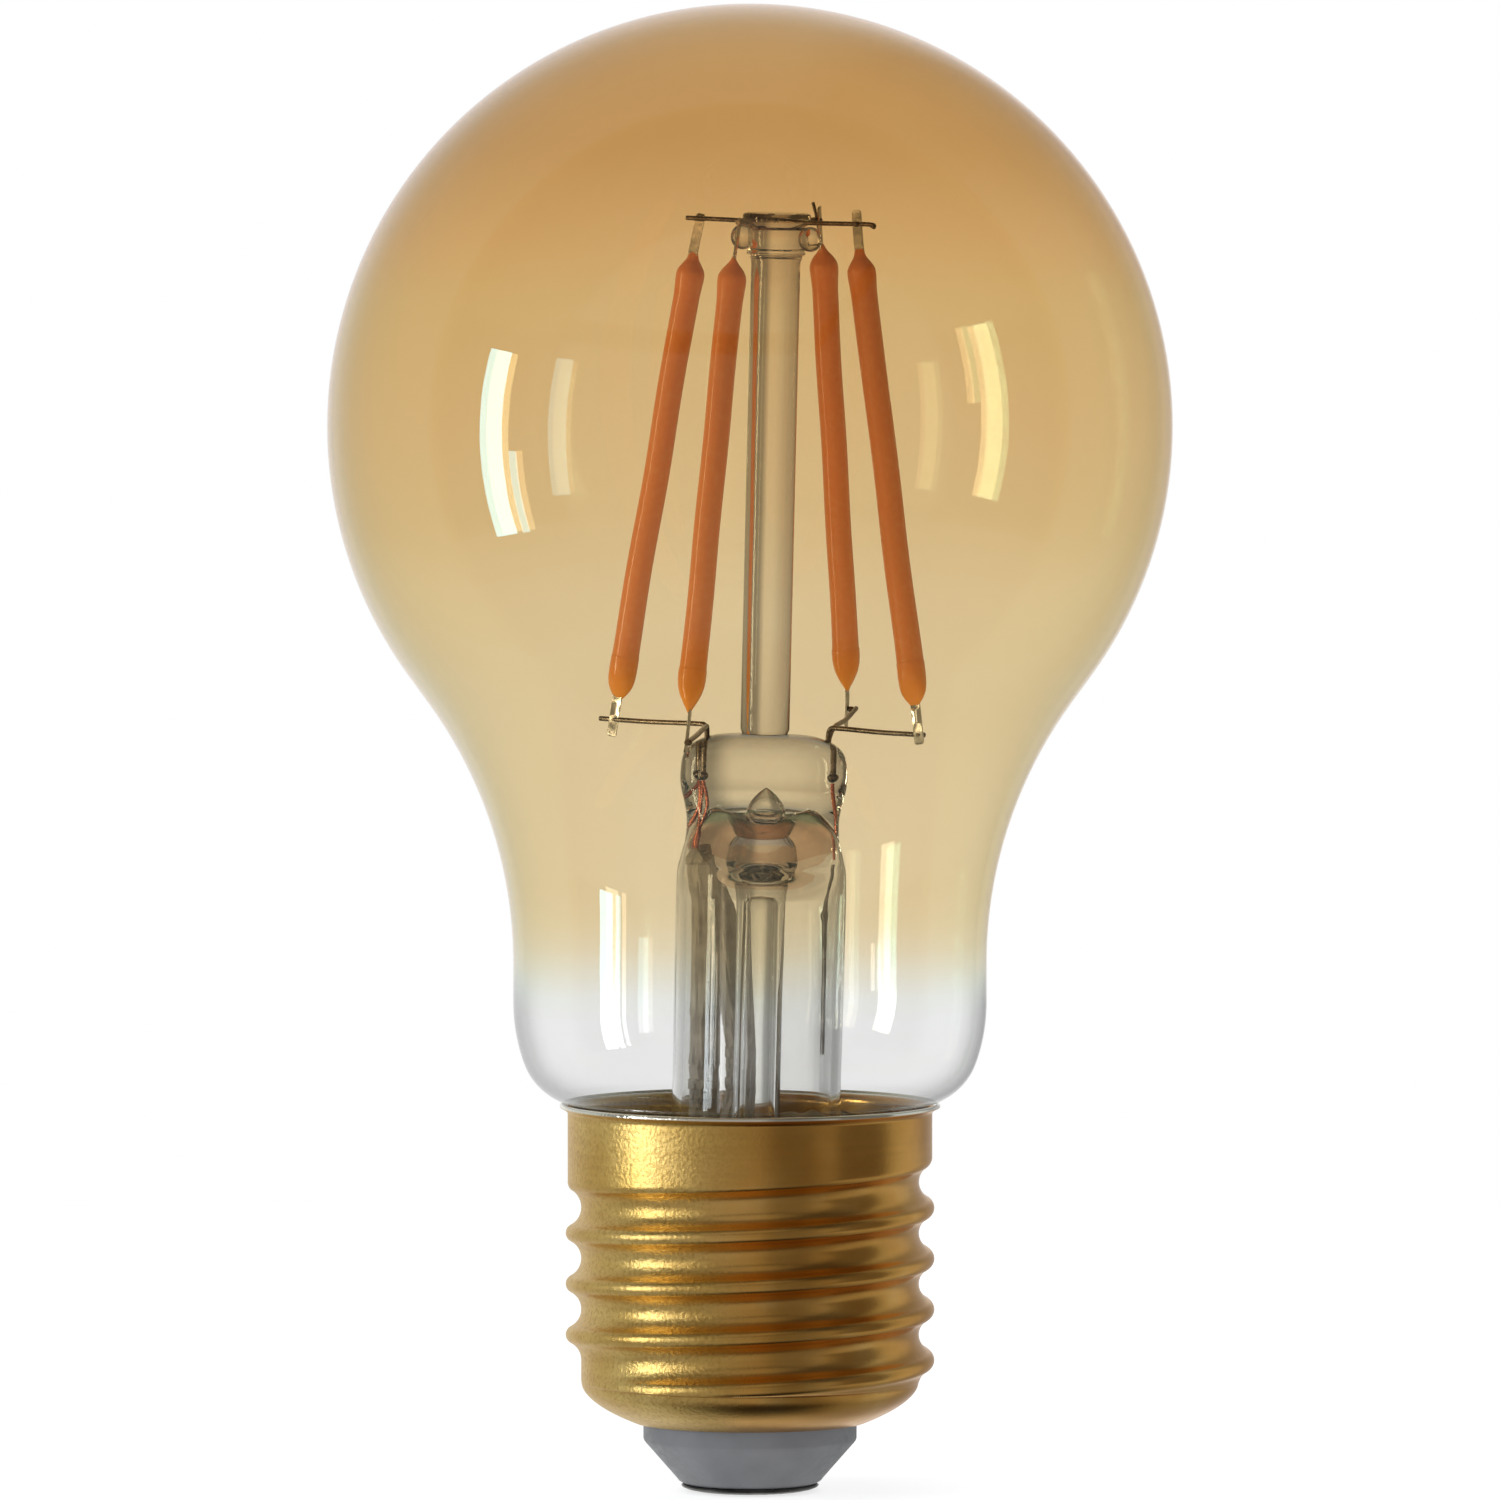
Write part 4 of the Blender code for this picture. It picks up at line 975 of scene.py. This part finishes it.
def arc_drop(distance):
    """How far the thread's surface lies inside its crest: a small arc, then a larger one."""
    run = PITCH / 2
    rise = CREST_RADIUS - ROOT_RADIUS
    both_radii = (run**2 + rise**2) / (2 * rise)
    groove = both_radii - CREST_ARC
    if distance <= run * CREST_ARC / both_radii:
        return CREST_ARC - sqrt(CREST_ARC**2 - distance**2)
    return rise - groove + sqrt(groove**2 - (run - distance) ** 2)


def soft_min(first, second, softness):
    """The smaller of two sizes, with a rounded change between them."""
    return -softness * np.log(np.exp(-first / softness) + np.exp(-second / softness))


def thread_radius(angle, z, shell_bottom):
    """The shell's outer radius: a right-hand thread between the rounded bottom and the skirt."""
    turns = angle / tau
    last_crest = FIRST_CREST_Z + PITCH * (CRESTS - 1 + turns)
    skirt_start = FIRST_CREST_Z + PITCH * max(CRESTS - turns, CRESTS - 1 + turns)
    if z >= skirt_start:
        return SKIRT_RADIUS
    if z > last_crest:
        share = (skirt_start - last_crest) / PITCH
        from_crest = (z - last_crest) / share
        radius = CREST_RADIUS - share * arc_drop(min(from_crest, PITCH - from_crest))
    else:
        from_crest = (last_crest - z) % PITCH
        radius = CREST_RADIUS - arc_drop(min(from_crest, PITCH - from_crest))
    if z > skirt_start - PITCH / 2:
        depth = (CREST_RADIUS - radius) / (CREST_RADIUS - ROOT_RADIUS)
        radius = SKIRT_RADIUS - (SKIRT_RADIUS - ROOT_RADIUS) * depth
    if z < FIRST_CREST_Z + PITCH * (turns - 0.5):
        rise = clamped((turns - 0.5) * 4)
        radius = ROOT_RADIUS + (radius - ROOT_RADIUS) * rise**2 * (3 - 2 * rise)
    if z < BOWL_TOP_Z:
        depth = (BOWL_TOP_Z - z) / (BOWL_TOP_Z - shell_bottom)
        hem = MOUTH_RADIUS + SHEET
        bowl = hem + (ROOT_RADIUS - hem) * (1 - depth**2)
        radius = soft_min(radius, bowl + 0.03 * MM, 0.04 * MM)
    return radius


def make_shell(material):
    """The brass shell: a turned-in mouth, rounded bottom, thread, skirt and rolled lip."""
    low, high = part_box("screw_shell")
    count = 220
    skirt_top = high.z - 0.75 * MM
    bowl_levels = low.z + (BOWL_TOP_Z - low.z) * (1 - np.cos(np.linspace(0, pi / 2, 26)[1:]))
    levels = np.concatenate([bowl_levels, np.linspace(BOWL_TOP_Z, skirt_top, 230)[1:]])
    angles = np.arange(count) * tau / count
    rings = [circle(MOUTH_RADIUS, low.z + 0.15 * MM, count), circle(MOUTH_RADIUS + 0.12 * MM, low.z, count)]
    for z in levels:
        radii = np.array([thread_radius(angle, z, low.z) for angle in angles])
        rings.append(circle(radii, z, count))
    bead = 0.2 * MM
    for share in np.linspace(0.0, 1.0, 6)[1:]:
        rise = high.z - 1.6 * bead - skirt_top
        flare = (LIP_RADIUS - SKIRT_RADIUS - 0.1 * MM) * share**2
        rings.append(circle(SKIRT_RADIUS + flare, skirt_top + rise * share, count))
    for turn in np.linspace(-0.25, 1.0, 8):
        radius = LIP_RADIUS - bead + bead * cos(turn * pi / 2)
        rings.append(circle(radius, high.z - bead + bead * sin(turn * pi / 2), count))
    piece = new_piece(skin_mesh("brass_shell", rings), material, "screw_shell")
    wall = piece.modifiers.new("Wall", "SOLIDIFY")
    wall.thickness = SHEET
    wall.offset = -1


def make_insulator(material):
    """The grey cone, with a flange inside the shell."""
    low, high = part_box("base_insulator")
    shell_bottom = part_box("screw_shell")[0].z
    hole, foot, rim, flange = 1.3, 5.2, 7.6, 8.9  # radii in millimetres
    rim_z = 3.65 * MM
    outline = above(low.z, (hole, -0.25), (foot - 0.9, -0.3), (foot - 0.45, -0.22))
    outline += above(low.z, (foot - 0.12, -0.02), (foot + 0.05, 0.2))
    outline += above(rim_z, (rim - 0.22, -0.28), (rim - 0.06, -0.08), (rim, 0.08))
    outline += above(shell_bottom, (rim, 0.5), (flange, 0.56))
    outline += above(high.z, (flange, 0.0), (hole, 0.0))
    outline += above(low.z, (hole, -0.25))
    new_piece(lathe_mesh("insulator_cone", outline, ends=OPEN), material, "base_insulator")


def make_contact(material):
    """The contact plate with its raised edge, and its pin."""
    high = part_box("centre_contact")[1]
    plate, pin = high.x / MM, 1.0
    outline = above(0.0, (NEVER_ZERO, 0.0), (3.6, 0.0), (4.0, 0.03), (4.5, 0.14))
    outline += above(0.0, (plate - 0.08, 0.27), (plate, 0.38), (plate - 0.1, 0.47), (pin, 0.47))
    outline += above(high.z, (pin, 0.0), (NEVER_ZERO, 0.0))
    new_piece(lathe_mesh("contact_plate", outline), material, "centre_contact")


def make_cement(material):
    """Cured cement, uneven where it was squeezed out."""
    low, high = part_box("base_cement")
    outer, inner = high.x, high.x - 0.62 * MM
    count = 160
    angles = np.arange(count) * tau / count
    lumps = 0.12 * MM * (np.sin(7 * angles) + np.sin(13 * angles + 1.0) + np.sin(29 * angles + 2.0))
    outline = (  # radius, height, and whether it is uneven there
        (inner, low.z, False),
        (outer, low.z, False),
        (outer, high.z, True),
        (outer - 0.2 * MM, high.z + 0.1 * MM, True),
        (inner + 0.1 * MM, high.z, True),
        (inner, high.z - 0.3 * MM, False),
        (inner, low.z, False),
    )
    rings = []
    for radius, z, uneven in outline:
        ring = circle(radius, z, count)
        ring[:, 2] += lumps * uneven
        rings.append(ring)
    new_piece(skin_mesh("cement_ring", rings), material, "base_cement")


# Stage, light and camera


def make_floor():
    """A small pale floor, bright enough to melt into the white round it, with a faint shadow."""
    material, tree, shader = principled("floor", Roughness=0.9, Emission_Strength=0.75)
    tone = grey_ramp(tree, noise(tree, 40 * MM), ((0.3, 0.80), (0.7, 0.83)))
    connect(tree, shader, {"Base Color": tone, "Emission Color": WHITE})
    rings = [circle(radius, 0.0, 96) for radius in (FLOOR_RADIUS, 0.05)]
    mesh = skin_mesh("floor", rings, ("open", "fan"))
    mesh.materials.append(material)
    floor = add_object("floor", mesh)
    floor.location.z = -0.05 * MM
    floor.visible_glossy = False
    floor.visible_transmission = False


def grey_ramp(tree, factor, stops):
    return ramp(tree, factor, [(position, (level,) * 3) for position, level in stops])


def room_colour(tree, angle, direction):
    """What gloss sees: a dim room in front with a beam and a table, and a pale sweep behind."""
    room = ramp(tree, angle, ROOM)
    aside = calc(tree, "MAXIMUM", calc(tree, "SUBTRACT", direction["X"], 0.3), 0.0)
    beam_level = calc(tree, "MULTIPLY_ADD", aside, -1.2, direction["Z"])
    beam = mixed(tree, 1.0, room, grey_ramp(tree, beam_level, BEAM), "MULTIPLY")
    room = mixed(tree, ranged(tree, angle, 0.325, 0.34, 1.0, 0.0), room, beam)
    table = grey_ramp(tree, ranged(tree, direction["Z"], -1.0, 0.0), TABLE)
    room = mixed(tree, 1.0, room, table, "LIGHTEN")
    underneath = ranged(tree, direction["Z"], -0.97, -0.85, 0.12, 1.0)
    return mixed(tree, 1.0, room, underneath, "MULTIPLY")


def make_world():
    """White to the eye, softly lit from the left for matt things, and a studio for gloss."""
    world = bpy.data.worlds.new("studio")
    scene.world = world
    world.use_nodes = True
    world.cycles.sampling_method = "NONE"
    tree = world.node_tree
    tree.nodes.clear()
    generated = add_node(tree, "TexCoord").outputs["Generated"]
    direction = add_node(tree, "SeparateXYZ", {"Vector": generated}).outputs
    front = (0.0, -cos(TILT), sin(TILT))
    towards = add_node(tree, "VectorMath", {0: generated, 1: front}, operation="DOT_PRODUCT")
    angle = calc(tree, "DIVIDE", calc(tree, "ARCCOSINE", towards.outputs["Value"]), pi)
    path = add_node(tree, "LightPath").outputs
    studio = room_colour(tree, angle, direction)
    studio = mixed(tree, path["Is Transmission Ray"], studio, grey_ramp(tree, angle, SWEEP))
    studio = mixed(tree, 1.0, studio, grey_ramp(tree, direction["X"], SIDE_SHADE), "MULTIPLY")
    lit = ranged(tree, direction["X"], -1.0, 1.0, 1.3, 0.7)
    ambient = mixed(tree, 1.0, lit, AMBIENT, "MULTIPLY")
    plain = calc(tree, "MAXIMUM", path["Is Camera Ray"], path["Is Diffuse Ray"])
    plain_colour = mixed(tree, path["Is Diffuse Ray"], WHITE, ambient)
    colour = mixed(tree, plain, studio, plain_colour)
    background = add_node(tree, "Background", {"Color": colour, "Strength": 1.0})
    add_node(tree, "OutputWorld", {"Surface": background.outputs[0]})


def add_softbox(name, azimuths, elevations, radiance, colour):
    """A softbox that fills a range of directions seen from the bulb. Azimuth runs to the right."""
    left, right = (radians(value) for value in azimuths)
    low, high = (tan(radians(value)) * SOFTBOX_DISTANCE for value in elevations)
    light = bpy.data.lights.new(name, "AREA")
    light.shape = "RECTANGLE"
    light.size = 2 * SOFTBOX_DISTANCE * tan((right - left) / 2)
    light.size_y = high - low
    light.energy = radiance * pi * light.size * light.size_y
    light.color = colour
    lamp = add_object(name, light)
    azimuth = (left + right) / 2
    away = Vector((sin(azimuth), -cos(azimuth), 0.0))
    lamp.location = away * SOFTBOX_DISTANCE + Vector((0, 0, BULB_TOP - BULB_RADIUS + (low + high) / 2))
    lamp.rotation_euler = away.to_track_quat("Z", "Y").to_euler()
    lamp.visible_camera = False


def make_camera():
    """A long lens that looks down slightly at the middle of the bulb."""
    camera = bpy.data.cameras.new("camera")
    camera.lens = 400
    camera.sensor_width = 36
    camera.clip_end = 20
    distance = SHOWN_WIDTH * camera.lens / camera.sensor_width
    view = add_object("camera", camera)
    middle = Vector((0, 0, BULB_TOP / 2 - 0.1 * MM))
    away = Vector((0, -cos(TILT), sin(TILT)))
    view.location = middle + away * distance
    view.rotation_euler = away.to_track_quat("Z", "Y").to_euler()
    scene.camera = view


def set_light_paths():
    scene.view_settings.view_transform = "Standard"
    cycles = scene.cycles
    cycles.max_bounces = 20
    cycles.transmission_bounces = 16
    cycles.transparent_max_bounces = 24
    cycles.glossy_bounces = 6
    cycles.diffuse_bounces = 3
    cycles.caustics_reflective = False
    cycles.sample_clamp_indirect = 8.0


# The whole bulb

make_camera()
make_world()
for window in WINDOWS:
    add_softbox(*window)
make_floor()
set_light_paths()

seal_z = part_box("exhaust_tube")[1].z
press_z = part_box("glass_stem")[1].z
stem_glass = drawn_glass("stem_glass", (
    (seal_z - 3 * MM, (0.975, 0.975, 0.965)),
    (seal_z + 1 * MM, (0.90, 0.89, 0.86)),
    (seal_z + 4 * MM, (0.86, 0.85, 0.82)),
    (press_z - 1.0 * MM, (0.86, 0.85, 0.82)),
    # Darker over the press's top: a painted shade band along its top edge.
    (press_z - 0.3 * MM, (0.66, 0.60, 0.52)),
))
roof_glass = drawn_glass("shaded_roof_glass", (
    (seal_z - 1.5 * MM, (0.70, 0.55, 0.44)),
    (seal_z + 1.7 * MM, (0.66, 0.48, 0.37)),
    # Darkest near the roof's top, under the bubble: painted shade for the press's dark middle.
    (seal_z + 2.3 * MM, (0.27, 0.33, 0.27)),
    (seal_z + 3.4 * MM, (0.36, 0.44, 0.37)),
))
exhaust_tints = ((0.0, (0.96, 0.96, 0.94)), (seal_z, (0.97, 0.97, 0.95)))
post_glass = drawn_glass("post_glass", (
    (BULB_TOP - 18.5 * MM, (0.90, 0.885, 0.865)),
    (BULB_TOP - 16.6 * MM, (0.88, 0.86, 0.83)),
    # Darker towards the top, at the button: painted shade.
    (BULB_TOP - 15.6 * MM, (0.72, 0.66, 0.6)),
))
phosphor = phosphor_material()
finishes = {name: worn(name, *values) for name, values in FINISHES.items()}

make_bulb_glass()
make_stem_glass(stem_glass, roof_glass)
make_exhaust_glass(drawn_glass("exhaust_glass", exhaust_tints))
make_post_glass(post_glass)
for seed, place in enumerate(PLACES):
    make_phosphor(place, seed, phosphor)
    make_tabs(place, seed, finishes["nickel"])
make_bridge_wires(finishes["oxidised_nickel"])
make_arms(finishes["oxidised_nickel"])
make_seals(finishes["copper"])
make_sleeves(finishes["fibreglass"])
make_spare_tail(finishes["tinned_copper"])
make_shell(brass_material())
make_insulator(finishes["vitrite"])
make_contact(finishes["contact_metal"])
make_cement(finishes["cement"])
for finish, kept in KEPT.items():
    for node in kept:
        nodes[node].data.materials.clear()
        nodes[node].data.materials.append(finishes[finish])
